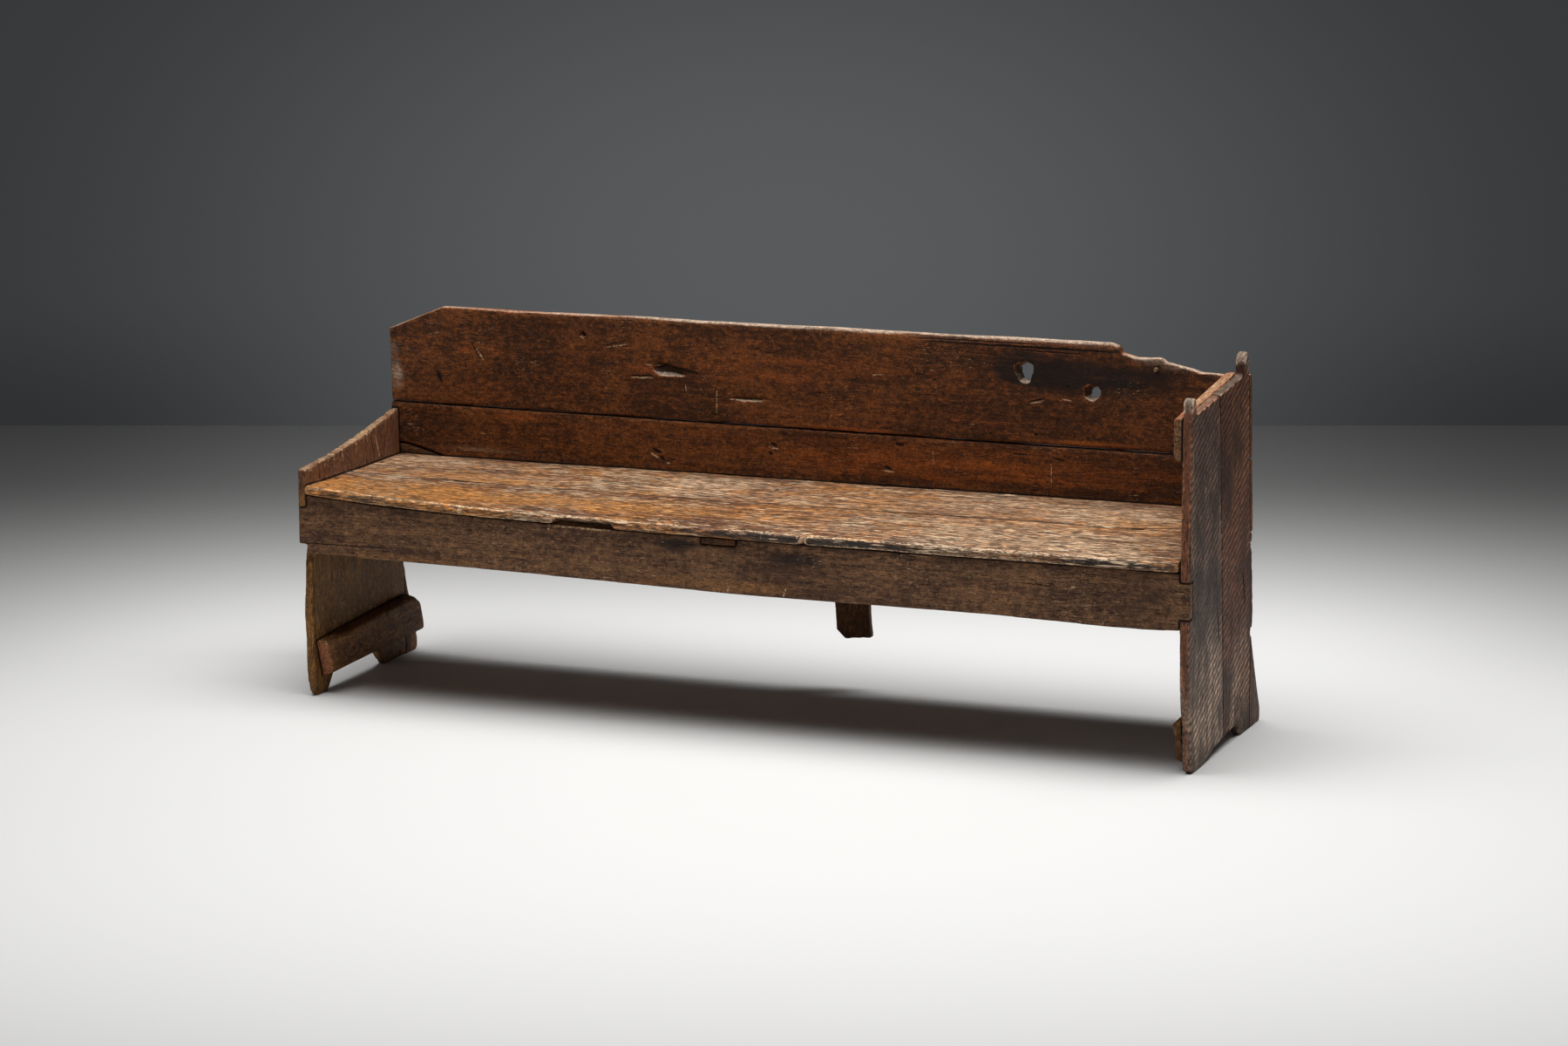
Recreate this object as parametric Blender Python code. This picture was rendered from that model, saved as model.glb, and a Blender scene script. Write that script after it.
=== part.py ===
"""Old plank bench: two plank ends, a two-board seat on a front apron, and a nailed plank back.

Sizes are in metres. While it is built, the bench starts at X = 0 on the outer face of its left end,
the apron's front face is at Y = 0, and Z is the height over the floor. A parent empty then moves the
bench so that the middle of its footprint is at the origin.
"""

import math

import bmesh
import bpy
from mathutils import Matrix, Vector

# Overall sizes
LENGTH = 1.900
GAP = 0.0003
STEP = 0.060
CLOSE_STATIONS = (0.043, 0.080, 0.150)

# End boards
LEFT_THICK = 0.019
RIGHT_THICK = 0.020
LEFT_DEPTH = 0.465
RIGHT_DEPTH = 0.448
LEFT_LEAN = 0.057
RIGHT_LEAN = 0.090
FLARE_TOP = 0.200
LEFT_FLARE = 0.067
RIGHT_FLARE = 0.092
FLARE_CURVE = 1.10
FLARE_HEEL = 0.030
HEEL_ROUND = 0.006
WEDGE_STEP = 0.0015
WEDGE_DROP = 0.008
WEDGE_ARRIS = 0.0008

# Left arm, a low sweep that rises to the back
ARM_FRONT = 0.485
ARM_REAR = 0.541
ARM_SWEEP = 1.55
ARM_STEPS = 12

# Right end, tall, with two lobes and a saw kerf under the front one
RIGHT_TOP_FRONT = 0.7055
RIGHT_TOP_REAR = 0.7355
FRONT_LOBE_HEIGHT = 0.0375
FRONT_LOBE_DEPTH = 0.028
REAR_LOBE_HEIGHT = 0.043
REAR_LOBE_DEPTH = 0.035
LOBE_FOOT = 0.004
LOBE_LEAN = 0.006
LOBE_STEPS = 6
KERF_HEIGHT = 0.003
KERF_DEPTH = 0.012
KERF_DROP = 0.004
JOINT_FOOT = 0.262
JOINT_LEAN = 0.094

# Feet and the arches between them
LEFT_SETBACK = 0.036
LEFT_WORN_DEPTH = 0.018
LEFT_WORN_HEIGHT = 0.190
LEFT_WORN_REACH = 0.055
LEFT_SHOULDER = 0.010
TOE_LEFT = 0.042
HEEL_OF_FRONT_FOOT_LEFT = 0.086
TOE_OF_REAR_FOOT_LEFT = 0.358
LEFT_ARCH_RISE = 0.052
RIGHT_SETBACK = 0.034
RIGHT_TAPER_TOP = 0.250
TOE_RIGHT = 0.044
HEEL_OF_FRONT_FOOT_RIGHT = 0.114
TOE_OF_REAR_FOOT_RIGHT = 0.386
RIGHT_ARCH_RISE = 0.0285
RIGHT_ARCH_PEAK = 0.357
ARCH_POINTS = 9
EDGE_STEPS = 8
TOE_ROUND = 0.008

# Apron
APRON_THICK = 0.024
APRON_ARRIS = 0.0012

# Lower edge of the apron: along, height
APRON_LOW_EDGE = (
    (0.00, 0.3083),
    (0.40, 0.3040),
    (0.75, 0.2968),
    (1.00, 0.2925),
    (1.50, 0.2925),
    (1.78, 0.2860),
    (LENGTH, 0.2900),
)
TONGUE_TOP_LEFT = 0.4045
TONGUE_BOTTOM_LEFT = 0.3270
TONGUE_TOP_RIGHT = 0.3840
TONGUE_BOTTOM_RIGHT = 0.3110

# Seat
SEAT_THICK = 0.020
SEAT_REAR_LEFT = 0.443
SEAT_REAR_RIGHT = 0.452
SEAT_FRONT_LEFT = 0.4535
SEAT_FRONT_LOW = 0.4235
SEAT_FADE = 0.33
SEAT_ROLL = 0.45
SEAT_ROLL_POWER = 4
SEAT_SEAM = 0.205
SEAT_OVERHANG = 0.008
SEAT_WANDER = 0.0025
NOSE_ROUND = 0.008
NOSE_POINTS = 4
SEAT_END_GAP = 0.0025
SEAT_TWIST_ROOM = 0.0004
SPLIT_START = 1.600
SPLIT_FULL = 1.660
SPLIT_WIDTH = 0.006
CHIP_START = 0.566
CHIP_END = 0.706
CHIP_SLOPE = 0.010
CHIP_DEPTH = 0.014
CHIP_HEIGHT = 0.009
NICK_AT = 1.108
NICK_WIDTH = 0.022
NICK_DEPTH = 0.010

# Supports under the seat
CLEAT_THICK = 0.024
CLEAT_HEIGHT = 0.036
LEDGER_THICK = 0.024
LEDGER_HEIGHT = 0.034
BEARER_LEFT = 0.889
BEARER_WIDTH = 0.076
BEARER_THICK = 0.016
BEARER_RECESS = 0.0015
BEARER_NAIL_SHARE = 0.8
NOTCH_CLEARANCE = 0.0006

# Back boards
UPPER_START = 0.003
MIDDLE_START = 0.001
LOWER_START = 0.002
BACK_THICK = 0.0215
BACK_ARRIS = 0.0018
BACK_SEAM = 0.5555
SEAM_OPEN = 0.0022
BACK_TOP_LEFT = 0.7650
BACK_TOP_RIGHT = 0.7770
BACK_CORNER_HEIGHT = 0.7125
BACK_CORNER_WIDTH = 0.130
BACK_WANDER = 0.0012
WORN_TOP_LEFT = 0.004
WORN_TOP_RIGHT = 0.013
WORN_TOP_SLOPE = 0.45
MIDDLE_BOTTOM = 0.4050
WANE_HEIGHT = 0.4685
WANE_WIDTH = 0.200
WANE_CURVE = 1.7
WANE_STEPS = 6
FILLER_BOTTOM = 0.3830
LOWER_BOTTOM = 0.2030

# The upper board's broken right-hand slope: distance from the right end, height
BROKEN_EDGE = (
    (0.2880, 0.7762), (0.2700, 0.7690), (0.2660, 0.7560), (0.2320, 0.7486), (0.1810, 0.7513),
    (0.1760, 0.7436), (0.1265, 0.7338), (0.0985, 0.7259), (0.0500, 0.7250), (0.0000, 0.7290),
)

# Knot holes in the upper board: along, height, half width, half height, depth as a share of the board,
# slope, how far the mouth is torn out to the left, how much higher the left half is than the right one
KNOT_HOLES = (
    (1.4320, 0.7060, 0.0125, 0.0200, 1.0, 0.00, 0.020, 0.0),
    (1.5745, 0.6720, 0.0115, 0.0145, 1.0, 0.00, 0.019, 0.0),
    (0.6466, 0.6600, 0.0340, 0.0105, 0.6, -0.18, 0.000, 0.5),
    (0.8250, 0.6105, 0.0500, 0.0035, 0.4, 0.00, 0.000, 0.0),
    (0.4531, 0.7246, 0.0070, 0.0060, 0.5, 0.00, 0.000, 0.0),
)
KNOT_POINTS = 12
KNOT_RAGGED = (0.14, 0.08)

# The funnel of a knot hole: depth as a share of the hole's, width, share of the torn mouth
KNOT_MOUTH_WIDTH = 1.5
KNOT_THROAT = 0.45
KNOT_THROAT_TEAR = 0.3
KNOT_EXIT_WIDTH = 0.9
KNOT_FLOOR_WIDTH = 0.35
CUT_CLEAR = 0.010

# Back battens
BATTEN_THICK = 0.020
LEFT_BACK_BATTEN = 0.110
MIDDLE_BACK_BATTEN = 0.969
BACK_BATTEN_WIDTH = 0.076
BACK_BATTEN_TOP = 0.715
LEFT_BACK_BATTEN_BOTTOM = 0.215
MIDDLE_BACK_BATTEN_BOTTOM = 0.111
BATTEN_SKEW = 0.031
BATTEN_BREAK = (0.016, -0.004, 0.000, 0.001, 0.002)

# Battens across the feet: width through, front, back, and their edges at the front and the back
LEFT_BATTEN_THICK = 0.030
LEFT_BATTEN_FRONT = 0.029
LEFT_BATTEN_BACK = 0.498
LEFT_BATTEN_BOTTOM = 0.048
LEFT_BATTEN_TOP = 0.115
LEFT_BATTEN_RISE = 0.016
RIGHT_BATTEN_THICK = 0.021
RIGHT_BATTEN_FRONT = 0.026
RIGHT_BATTEN_BACK = 0.455
RIGHT_BATTEN_BOTTOM = 0.020
RIGHT_BATTEN_TOP = 0.102
RIGHT_BATTEN_RISE = 0.008
BATTEN_END_SLANT = 0.028
LEFT_BATTEN_SLOPES = (0.006, 0.010)
RIGHT_BATTEN_SLOPES = (0.002, 0.002)
BATTEN_ARRIS = 0.004
BATTEN_BACK_CORNER = 0.045
BATTEN_BACK_SLANT = 0.018

# Nails on the left batten: distance from the front, share of the batten's height
LEFT_BATTEN_NAILS = ((0.150, 0.50), (0.417, 0.55), (0.462, 0.36))

# Batten along the top of the right end, thicker at the back
ARM_CLEAT_FRONT = 0.018
ARM_CLEAT_REAR = 0.026
ARM_CLEAT_DROP = 0.002
ARM_CLEAT_RISE = 0.004
ARM_CLEAT_HEIGHT = 0.086
ARM_CLEAT_BACK_GAP = 0.014
ARM_CLEAT_UNDERCUT = 0.012

# Nails and pegs. The apron's peg is placed from the left end, the back's from the right end.
NAIL_SHANK = 0.0030
NAIL_TIP = 0.0016
NAIL_HEAD = 0.0085
NAIL_HEAD_HEIGHT = 0.0016
NAIL_PROUD = 0.0004
NAIL_HOLD = 0.014
ARM_NAIL_HOLD = 0.010
EDGE_NAIL_HOLD = 0.030
LEDGER_NAILS = (0.450, 1.420)
CLEAT_NAIL_SHARE = 0.45
SEAT_NAIL_SHARE = 0.58
PEG_RADIUS = 0.0045
PEG_SIDES = 10
PEG_STUB = 0.006
PEG_DOME = 0.0012
PEG_PROUD = 0.0006
PEG_REACH = 0.8
APRON_PEG = (1.4542, 0.3653)
BACK_PEG = (0.1925, 0.7279)

SOFT_ARRIS = 0.0016

COLOURS = {
    "end_oak": ((0.105, 0.062, 0.036), 0.62),
    "foot_oak": ((0.120, 0.078, 0.044), 0.70),
    "apron_oak": ((0.088, 0.052, 0.032), 0.60),
    "seat_oak": ((0.300, 0.150, 0.062), 0.42),
    "back_oak": ((0.110, 0.050, 0.024), 0.50),
    "raw_oak": ((0.160, 0.105, 0.060), 0.75),
    "nail_iron": ((0.045, 0.035, 0.030), 0.65),
}


def clear_scene():
    """Remove whatever objects the file holds."""
    for old in list(bpy.data.objects):
        bpy.data.objects.remove(old, do_unlink=True)


def make_material(name):
    """A plain finish with the colour and the roughness of one kind of surface."""
    colour, roughness = COLOURS[name]
    material = bpy.data.materials.new(name)
    material.use_nodes = True
    shader = material.node_tree.nodes["Principled BSDF"]
    shader.inputs["Base Color"].default_value = (*colour, 1.0)
    shader.inputs["Roughness"].default_value = roughness
    shader.inputs["Metallic"].default_value = 0.6 if name == "nail_iron" else 0.0
    return material


def lerp(start, end, share):
    return start + (end - start) * share


def wander(x, size, length=0.37, phase=0.0):
    """A slow, uneven wave along a hand-worked edge."""
    turn = 2.0 * math.pi * x / length
    return size * (math.sin(turn + phase) + 0.5 * math.sin(2.3 * turn + 1.7 * phase + 0.6)) / 1.5


def along(start, end, extra=()):
    """Stations along the bench that all boards share, with the ends and any further ones."""
    inner = [k * STEP for k in range(1, int(LENGTH / STEP) + 2)]
    wanted = [x for x in (*inner, *CLOSE_STATIONS, *extra) if start + 0.004 < x < end - 0.004]
    stations = [start]
    for x in sorted(wanted):
        if x - stations[-1] > 0.002:
            stations.append(x)
    return stations + [end]


def back_line(x, z):
    """Front side of the back boards. The right end leans forward more, so the back is a twisted plane."""
    rise = z - FLARE_TOP
    left = LEFT_DEPTH - LEFT_LEAN * rise
    right = RIGHT_DEPTH - RIGHT_LEAN * rise
    return lerp(left, right, x / LENGTH)


def rear_face(x, z):
    """Rear edge of the ends: it follows the back boards and runs upright where the foot flares."""
    return back_line(x, max(z, FLARE_TOP))


def seat_front(x):
    """Height of the seat's front edge, which sags away from the left end."""
    return SEAT_FRONT_LOW + (SEAT_FRONT_LEFT - SEAT_FRONT_LOW) * math.exp(-x / SEAT_FADE)


def seat_rear(x):
    return lerp(SEAT_REAR_LEFT, SEAT_REAR_RIGHT, x / LENGTH)


def seat_share(x, y):
    """0 at the seat's rear edge, 1 at its front edge."""
    rear = rear_face(x, seat_rear(x))
    return (rear - y) / (rear + SEAT_OVERHANG)


def seat_top(x, y):
    share = seat_share(x, y)
    roll = SEAT_ROLL * share + (1.0 - SEAT_ROLL) * share ** SEAT_ROLL_POWER
    return seat_rear(x) + (seat_front(x) - seat_rear(x)) * roll


def seat_under(x, y):
    return lerp(seat_rear(x), seat_front(x), seat_share(x, y)) - SEAT_THICK


def under_seat(x_low, x_high, y_low, y_high):
    """The height that a support between these lines can reach under the twisted seat."""
    corners = [seat_under(x, y) for x in (x_low, x_high) for y in (y_low, y_high)]
    return min(corners) - GAP - SEAT_TWIST_ROOM


def make_object(name, bm, material):
    """One named piece of the bench."""
    bmesh.ops.recalc_face_normals(bm, faces=bm.faces)
    mesh = bpy.data.meshes.new(name)
    bm.to_mesh(mesh)
    bm.free()
    piece = bpy.data.objects.new(name, mesh)
    bpy.context.scene.collection.objects.link(piece)
    mesh.materials.append(material)
    piece.parent = bench
    return piece


def loft(rings):
    """A closed solid through rings of points, flat at both ends."""
    bm = bmesh.new()
    loops = [[bm.verts.new(point) for point in ring] for ring in rings]
    count = len(loops[0])
    bm.faces.new(loops[0])
    bm.faces.new(list(reversed(loops[-1])))
    for near, far in zip(loops, loops[1:]):
        for i in range(count):
            j = (i + 1) % count
            bm.faces.new((near[i], far[i], far[j], near[j]))
    return bm


def slab(near, far, soften=SOFT_ARRIS):
    """A plank between two outlines, with its arrises worn by a small bevel."""
    bm = loft([near, far])
    bmesh.ops.recalc_face_normals(bm, faces=bm.faces)
    bm.faces.ensure_lookup_table()
    rims = [edge for face in bm.faces[:2] for edge in face.edges]
    bmesh.ops.bevel(
        bm, geom=rims, offset=soften, offset_type="OFFSET", segments=1, profile=0.5,
        affect="EDGES", clamp_overlap=True, material=-1,
    )
    return bm


def cut(piece, cutter):
    """Take the cutter's shape out of the piece."""
    boolean = piece.modifiers.new(cutter.name, "BOOLEAN")
    boolean.operation = "DIFFERENCE"
    boolean.solver = "EXACT"
    boolean.object = cutter


def make_cutter(name, bm):
    cutter = make_object(name, bm, materials["raw_oak"])
    cutter.hide_render = True
    cutter.display_type = "WIRE"
    return cutter


def arm_height(y):
    """Top of the left arm."""
    share = max(y, 0.0) / rear_face(0.0, ARM_REAR)
    return ARM_FRONT + (ARM_REAR - ARM_FRONT) * min(share, 1.0) ** ARM_SWEEP


def right_top(y):
    """Top of the right end between its lobes."""
    return lerp(RIGHT_TOP_FRONT, RIGHT_TOP_REAR, y / rear_face(LENGTH, RIGHT_TOP_REAR))


def joint_line(z):
    """Where the right end's two boards meet."""
    return JOINT_FOOT - JOINT_LEAN * z


def rear_edge(x, z_low, z_high):
    """The straight leaning rear edge of an end board, from low to high, with its bend at the flare."""
    heights = [z for z in (z_low, FLARE_TOP, z_high) if z_low <= z <= z_high]
    return [(rear_face(x, z), z) for z in heights]


def left_arch():
    """The cut-out between the left feet, from the front foot to the rear one."""
    points = []
    for k in range(ARCH_POINTS + 1):
        share = k / ARCH_POINTS
        y = lerp(HEEL_OF_FRONT_FOOT_LEFT, TOE_OF_REAR_FOOT_LEFT, share)
        points.append((y, LEFT_ARCH_RISE * math.sin(math.pi * share) ** 0.45))
    points[-1] = (TOE_OF_REAR_FOOT_LEFT, 0.0)
    return points


def right_arch(y):
    """Height of the right end's low, lopsided arch."""
    rise = (y - HEEL_OF_FRONT_FOOT_RIGHT) / (RIGHT_ARCH_PEAK - HEEL_OF_FRONT_FOOT_RIGHT)
    fall = (TOE_OF_REAR_FOOT_RIGHT - y) / (TOE_OF_REAR_FOOT_RIGHT - RIGHT_ARCH_PEAK)
    return RIGHT_ARCH_RISE * max(min(math.sin(0.5 * math.pi * min(rise, 1.0)) ** 0.9, fall), 0.0)


def lobe(y_low, y_high, base, tall, lean=0.0):
    """A finger with a round top, as points from its rear side over to its front side."""
    middle = 0.5 * (y_low + y_high)
    half = 0.5 * (y_high - y_low)
    points = []
    for k in range(LOBE_STEPS + 1):
        turn = math.pi * k / LOBE_STEPS
        height = tall - half + half * math.sin(turn)
        points.append((middle + half * math.cos(turn) + lean * height / tall, base + height))
    return points


def build_left_end():
    """One plank, from the floor to the arm, notched for the apron's tongue."""
    notch = APRON_THICK + GAP
    worn_top = TONGUE_BOTTOM_LEFT - GAP

    def outline(x):
        points = [(0.0, ARM_FRONT - 0.002), (0.0, TONGUE_TOP_LEFT + GAP), (notch, TONGUE_TOP_LEFT + GAP)]
        points += [(notch, worn_top), (LEFT_SETBACK, worn_top)]
        bulge = LEFT_SETBACK - LEFT_WORN_DEPTH
        for k in range(1, EDGE_STEPS):
            z = worn_top * (1.0 - k / EDGE_STEPS)
            reach = math.exp(-((z - LEFT_WORN_HEIGHT) / LEFT_WORN_REACH) ** 2)
            worn = lerp(LEFT_SETBACK - LEFT_SHOULDER, bulge, reach) + wander(z, 0.0015, 0.11)
            points.append((worn, z))
        points += [(TOE_LEFT - TOE_ROUND, TOE_ROUND), (TOE_LEFT, 0.0)]
        points += left_arch()
        points += rear_edge(x, 0.0, ARM_REAR)
        rear = rear_face(x, ARM_REAR)
        points += [(y, arm_height(y)) for y in (rear * k / ARM_STEPS for k in range(ARM_STEPS - 1, 0, -1))]
        return [(x, y, z) for y, z in points]

    bm = slab(outline(0.0), outline(LEFT_THICK))
    return make_object("left_end_board", bm, materials["end_oak"])


def build_right_front_board():
    """The front plank of the tall end, with the kerf, the front lobe and the front foot."""
    notch = APRON_THICK + GAP
    half_gap = 0.5 * GAP
    kerf_top = RIGHT_TOP_FRONT - KERF_DROP
    kerf_bottom = kerf_top - KERF_HEIGHT

    def outline(x):
        points = [(0.002, kerf_top), (KERF_DEPTH, kerf_top), (KERF_DEPTH, kerf_bottom), (0.0, kerf_bottom)]
        points += [(0.0, TONGUE_TOP_RIGHT + GAP), (notch, TONGUE_TOP_RIGHT + GAP)]
        points += [(notch, TONGUE_BOTTOM_RIGHT - GAP), (0.0, TONGUE_BOTTOM_RIGHT - GAP)]
        for k in range(6):
            share = k / 5.0
            y = RIGHT_SETBACK * share ** 1.6
            points.append((y + 0.5 * wander(share, 0.0015, 0.4), lerp(RIGHT_TAPER_TOP, TOE_ROUND, share)))
        points.append((TOE_RIGHT, 0.0))
        foot_end = joint_line(0.0)
        last = foot_end - HEEL_OF_FRONT_FOOT_RIGHT
        for k in range(7):
            y = HEEL_OF_FRONT_FOOT_RIGHT + last * k / 6.0
            if k == 6:
                y = joint_line(right_arch(y)) - half_gap
            points.append((y, right_arch(y)))
        joint_top = right_top(joint_line(RIGHT_TOP_REAR))
        points.append((joint_line(joint_top) - half_gap, joint_top))
        points.append((FRONT_LOBE_DEPTH + LOBE_FOOT, right_top(FRONT_LOBE_DEPTH)))
        points += lobe(0.002, FRONT_LOBE_DEPTH, right_top(0.0), FRONT_LOBE_HEIGHT)
        return [(x, y, z) for y, z in points]

    bm = slab(outline(LENGTH - RIGHT_THICK), outline(LENGTH))
    return make_object("right_end_front_board", bm, materials["end_oak"])


def build_right_rear_board():
    """The rear plank of the tall end, with the rear lobe and the rear foot."""
    half_gap = 0.5 * GAP

    def outline(x):
        joint_top = right_top(joint_line(RIGHT_TOP_REAR))
        foot_start = joint_line(right_arch(joint_line(0.0))) + half_gap
        points = [(joint_line(joint_top) + half_gap, joint_top)]
        for k in range(5):
            y = lerp(foot_start, RIGHT_ARCH_PEAK, k / 4.0)
            points.append((y, right_arch(y)))
        points += [(lerp(RIGHT_ARCH_PEAK, TOE_OF_REAR_FOOT_RIGHT, s), RIGHT_ARCH_RISE * (1.0 - s) ** 1.3)
                   for s in (0.35, 0.7, 1.0)]
        points += rear_edge(x, 0.0, RIGHT_TOP_REAR - 0.004)
        rear = rear_face(x, RIGHT_TOP_REAR) - LOBE_LEAN
        front_of_lobe = rear - REAR_LOBE_DEPTH
        points += lobe(front_of_lobe, rear, RIGHT_TOP_REAR, REAR_LOBE_HEIGHT, LOBE_LEAN)
        points += [(front_of_lobe, right_top(front_of_lobe) + LOBE_FOOT)]
        points += [(front_of_lobe - LOBE_FOOT, right_top(front_of_lobe - LOBE_FOOT))]
        return [(x, y, z) for y, z in points]

    bm = slab(outline(LENGTH - RIGHT_THICK), outline(LENGTH))
    return make_object("right_end_rear_board", bm, materials["end_oak"])


def build_wedge(name, x_low, x_high, depth, flare):
    """The tapering strip on an end's rear edge that makes its foot flare."""
    inner = depth + GAP
    tip = FLARE_TOP - WEDGE_DROP

    def outline(x):
        points = [(inner, 0.0), (inner, tip)]
        for k in range(EDGE_STEPS):
            z = lerp(tip, FLARE_HEEL, k / (EDGE_STEPS - 1))
            points.append((inner + WEDGE_STEP + flare * (1.0 - z / FLARE_TOP) ** FLARE_CURVE, z))
        heel = points[-1][0]
        points += [(heel + 0.001, HEEL_ROUND), (heel - HEEL_ROUND, 0.0)]
        return [(x, y, z) for y, z in points]

    bm = slab(outline(x_low), outline(x_high), WEDGE_ARRIS)
    return make_object(name, bm, materials["foot_oak"])


def build_foot_batten(name, face_x, side, thick, front, back, bottom, top, rise, slopes):
    """A batten nailed across the inner face of an end, low down, with sloping ends.

    The slopes say how much the side against the end stands above and below the outer side.
    """
    inner_x = face_x + side * GAP
    outer_x = inner_x + side * thick

    def outline(x, lift, drop):
        points = [
            (front + BATTEN_END_SLANT, bottom - drop), (front, top + lift),
            (lerp(front, back, 0.5), top + lift + 0.5 * rise + 0.002),
            (back - BATTEN_BACK_CORNER, top + lift + rise), (back - BATTEN_BACK_SLANT, top + lift),
            (back - 0.2 * BATTEN_BACK_SLANT, lerp(bottom, top, 0.4)), (back, bottom + 0.005 - drop),
            (lerp(front, back, 0.45), bottom + 0.003 - drop),
        ]
        return [(x, y, z) for y, z in points]

    bm = slab(outline(inner_x, *slopes), outline(outer_x, 0.0, 0.0), BATTEN_ARRIS)
    return make_object(name, bm, materials["foot_oak"])


def arm_cleat_thick(y):
    return lerp(ARM_CLEAT_FRONT, ARM_CLEAT_REAR, y / rear_face(LENGTH, RIGHT_TOP_REAR))


def build_arm_cleat():
    """The batten along the top of the tall end, inside, with its lower arris cut away."""
    outer_x = LENGTH - RIGHT_THICK - GAP

    def ring(y):
        inner_x = outer_x - arm_cleat_thick(y)
        top = right_top(y) - ARM_CLEAT_DROP + ARM_CLEAT_RISE * y / rear_face(LENGTH, RIGHT_TOP_REAR)
        low = top - ARM_CLEAT_HEIGHT
        return [
            (outer_x, y, low), (outer_x, y, top), (inner_x + BATTEN_ARRIS, y, top),
            (inner_x, y, top - BATTEN_ARRIS), (inner_x, y, low + ARM_CLEAT_UNDERCUT),
            (lerp(inner_x, outer_x, 0.35), y, low + 0.4 * ARM_CLEAT_UNDERCUT),
        ]

    back = rear_face(LENGTH, RIGHT_TOP_REAR) - ARM_CLEAT_BACK_GAP
    rings = [ring(back * share) for share in (0.002, 0.33, 0.67, 1.0)]
    return make_object("right_arm_cleat", loft(rings), materials["end_oak"])


def apron_bottom(x):
    """Height of the apron's lower edge, straight from mark to mark."""
    marks = zip(APRON_LOW_EDGE, APRON_LOW_EDGE[1:])
    start, end = next(pair for pair in marks if x <= pair[1][0])
    return lerp(start[1], end[1], (x - start[0]) / (end[0] - start[0]))


def build_apron():
    """The front rail, shouldered at both ends, with a tongue over each end board."""
    left = LEFT_THICK + GAP
    right = LENGTH - RIGHT_THICK - GAP
    stations = along(left, right)

    def outline(y):
        points = [(0.0, TONGUE_BOTTOM_LEFT), (0.0, TONGUE_TOP_LEFT), (left, TONGUE_TOP_LEFT)]
        points += [(x, under_seat(x, x, 0.0, APRON_THICK)) for x in stations]
        points += [(right, TONGUE_TOP_RIGHT), (LENGTH, TONGUE_TOP_RIGHT), (LENGTH, TONGUE_BOTTOM_RIGHT)]
        points += [(right, TONGUE_BOTTOM_RIGHT)]
        points += [(x, apron_bottom(x)) for x in reversed(stations)]
        points += [(left, TONGUE_BOTTOM_LEFT)]
        return [(x, y, z) for x, z in points]

    bm = slab(outline(0.0), outline(APRON_THICK), APRON_ARRIS)
    return make_object("apron", bm, materials["apron_oak"])


def chip(x):
    """How much of the broken length of the seat's nose is missing at x, from 0 to 1."""
    return max(min((x - CHIP_START) / CHIP_SLOPE, (CHIP_END - x) / CHIP_SLOPE, 1.0), 0.0)


def nick(x):
    return max(1.0 - abs(x - NICK_AT) / (0.5 * NICK_WIDTH), 0.0)


def split(x):
    """Half of the opening between the seat boards, which have shrunk apart at the right."""
    share = (x - SPLIT_START) / (SPLIT_FULL - SPLIT_START)
    return 0.5 * GAP + 0.5 * SPLIT_WIDTH * max(min(share, 1.0), 0.0)


def seat_nose(x):
    """Front points of the seat, from the top round to the bottom."""
    front = -SEAT_OVERHANG - wander(x, SEAT_WANDER, 0.8, 0.4) + NICK_DEPTH * nick(x)
    top = seat_top(x, front)
    bottom = seat_under(x, front)
    points = []
    for k in range(NOSE_POINTS + 1):
        turn = 0.5 * math.pi * k / NOSE_POINTS
        y = front + NOSE_ROUND * (1.0 - math.sin(turn))
        points.append((y, seat_top(x, y) - NOSE_ROUND * (1.0 - math.cos(turn))))
    missing = chip(x)
    points.append((front + 0.001 + 0.3 * CHIP_DEPTH * missing, bottom + 0.004 + CHIP_HEIGHT * missing))
    points.append((front + 0.005 + CHIP_DEPTH * missing, bottom + CHIP_HEIGHT * missing))
    points.append((front + 0.008 + 1.4 * CHIP_DEPTH * missing, seat_under(x, front + 0.008)))
    return points


def build_seat_front_board():
    """The worn front board, rolled over at its nose, with a chip, a nick and a split edge."""
    marks = (CHIP_START, CHIP_START + CHIP_SLOPE, CHIP_END - CHIP_SLOPE, CHIP_END,
             NICK_AT - 0.5 * NICK_WIDTH, NICK_AT, NICK_AT + 0.5 * NICK_WIDTH, SPLIT_START, SPLIT_FULL)
    rings = []
    for x in along(LEFT_THICK + GAP, LENGTH - RIGHT_THICK - SEAT_END_GAP, marks):
        seam = SEAT_SEAM - split(x)
        points = [(seam, seat_under(x, seam)), (seam, seat_top(x, seam))]
        points += [(share * seam, seat_top(x, share * seam)) for share in (0.75, 0.5, 0.3, 0.15)]
        points += seat_nose(x)
        points.append((0.5 * seam, seat_under(x, 0.5 * seam)))
        rings.append([(x, y, z) for y, z in points])
    return make_object("seat_front_board", loft(rings), materials["seat_oak"])


def build_seat_rear_board():
    rings = []
    for x in along(LEFT_THICK + GAP, LENGTH - RIGHT_THICK - GAP, (SPLIT_START, SPLIT_FULL)):
        seam = SEAT_SEAM + split(x)
        top = seat_rear(x)
        rear_top = rear_face(x, top) - GAP
        rear_low = rear_face(x, top - SEAT_THICK) - GAP
        middle = 0.5 * (seam + rear_top)
        points = [(seam, seat_under(x, seam)), (seam, seat_top(x, seam)), (middle, seat_top(x, middle))]
        points += [(min(rear_top, rear_low), seat_top(x, rear_top)), (rear_low, seat_under(x, rear_low))]
        rings.append([(x, y, z) for y, z in points])
    return make_object("seat_rear_board", loft(rings), materials["seat_oak"])


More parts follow.
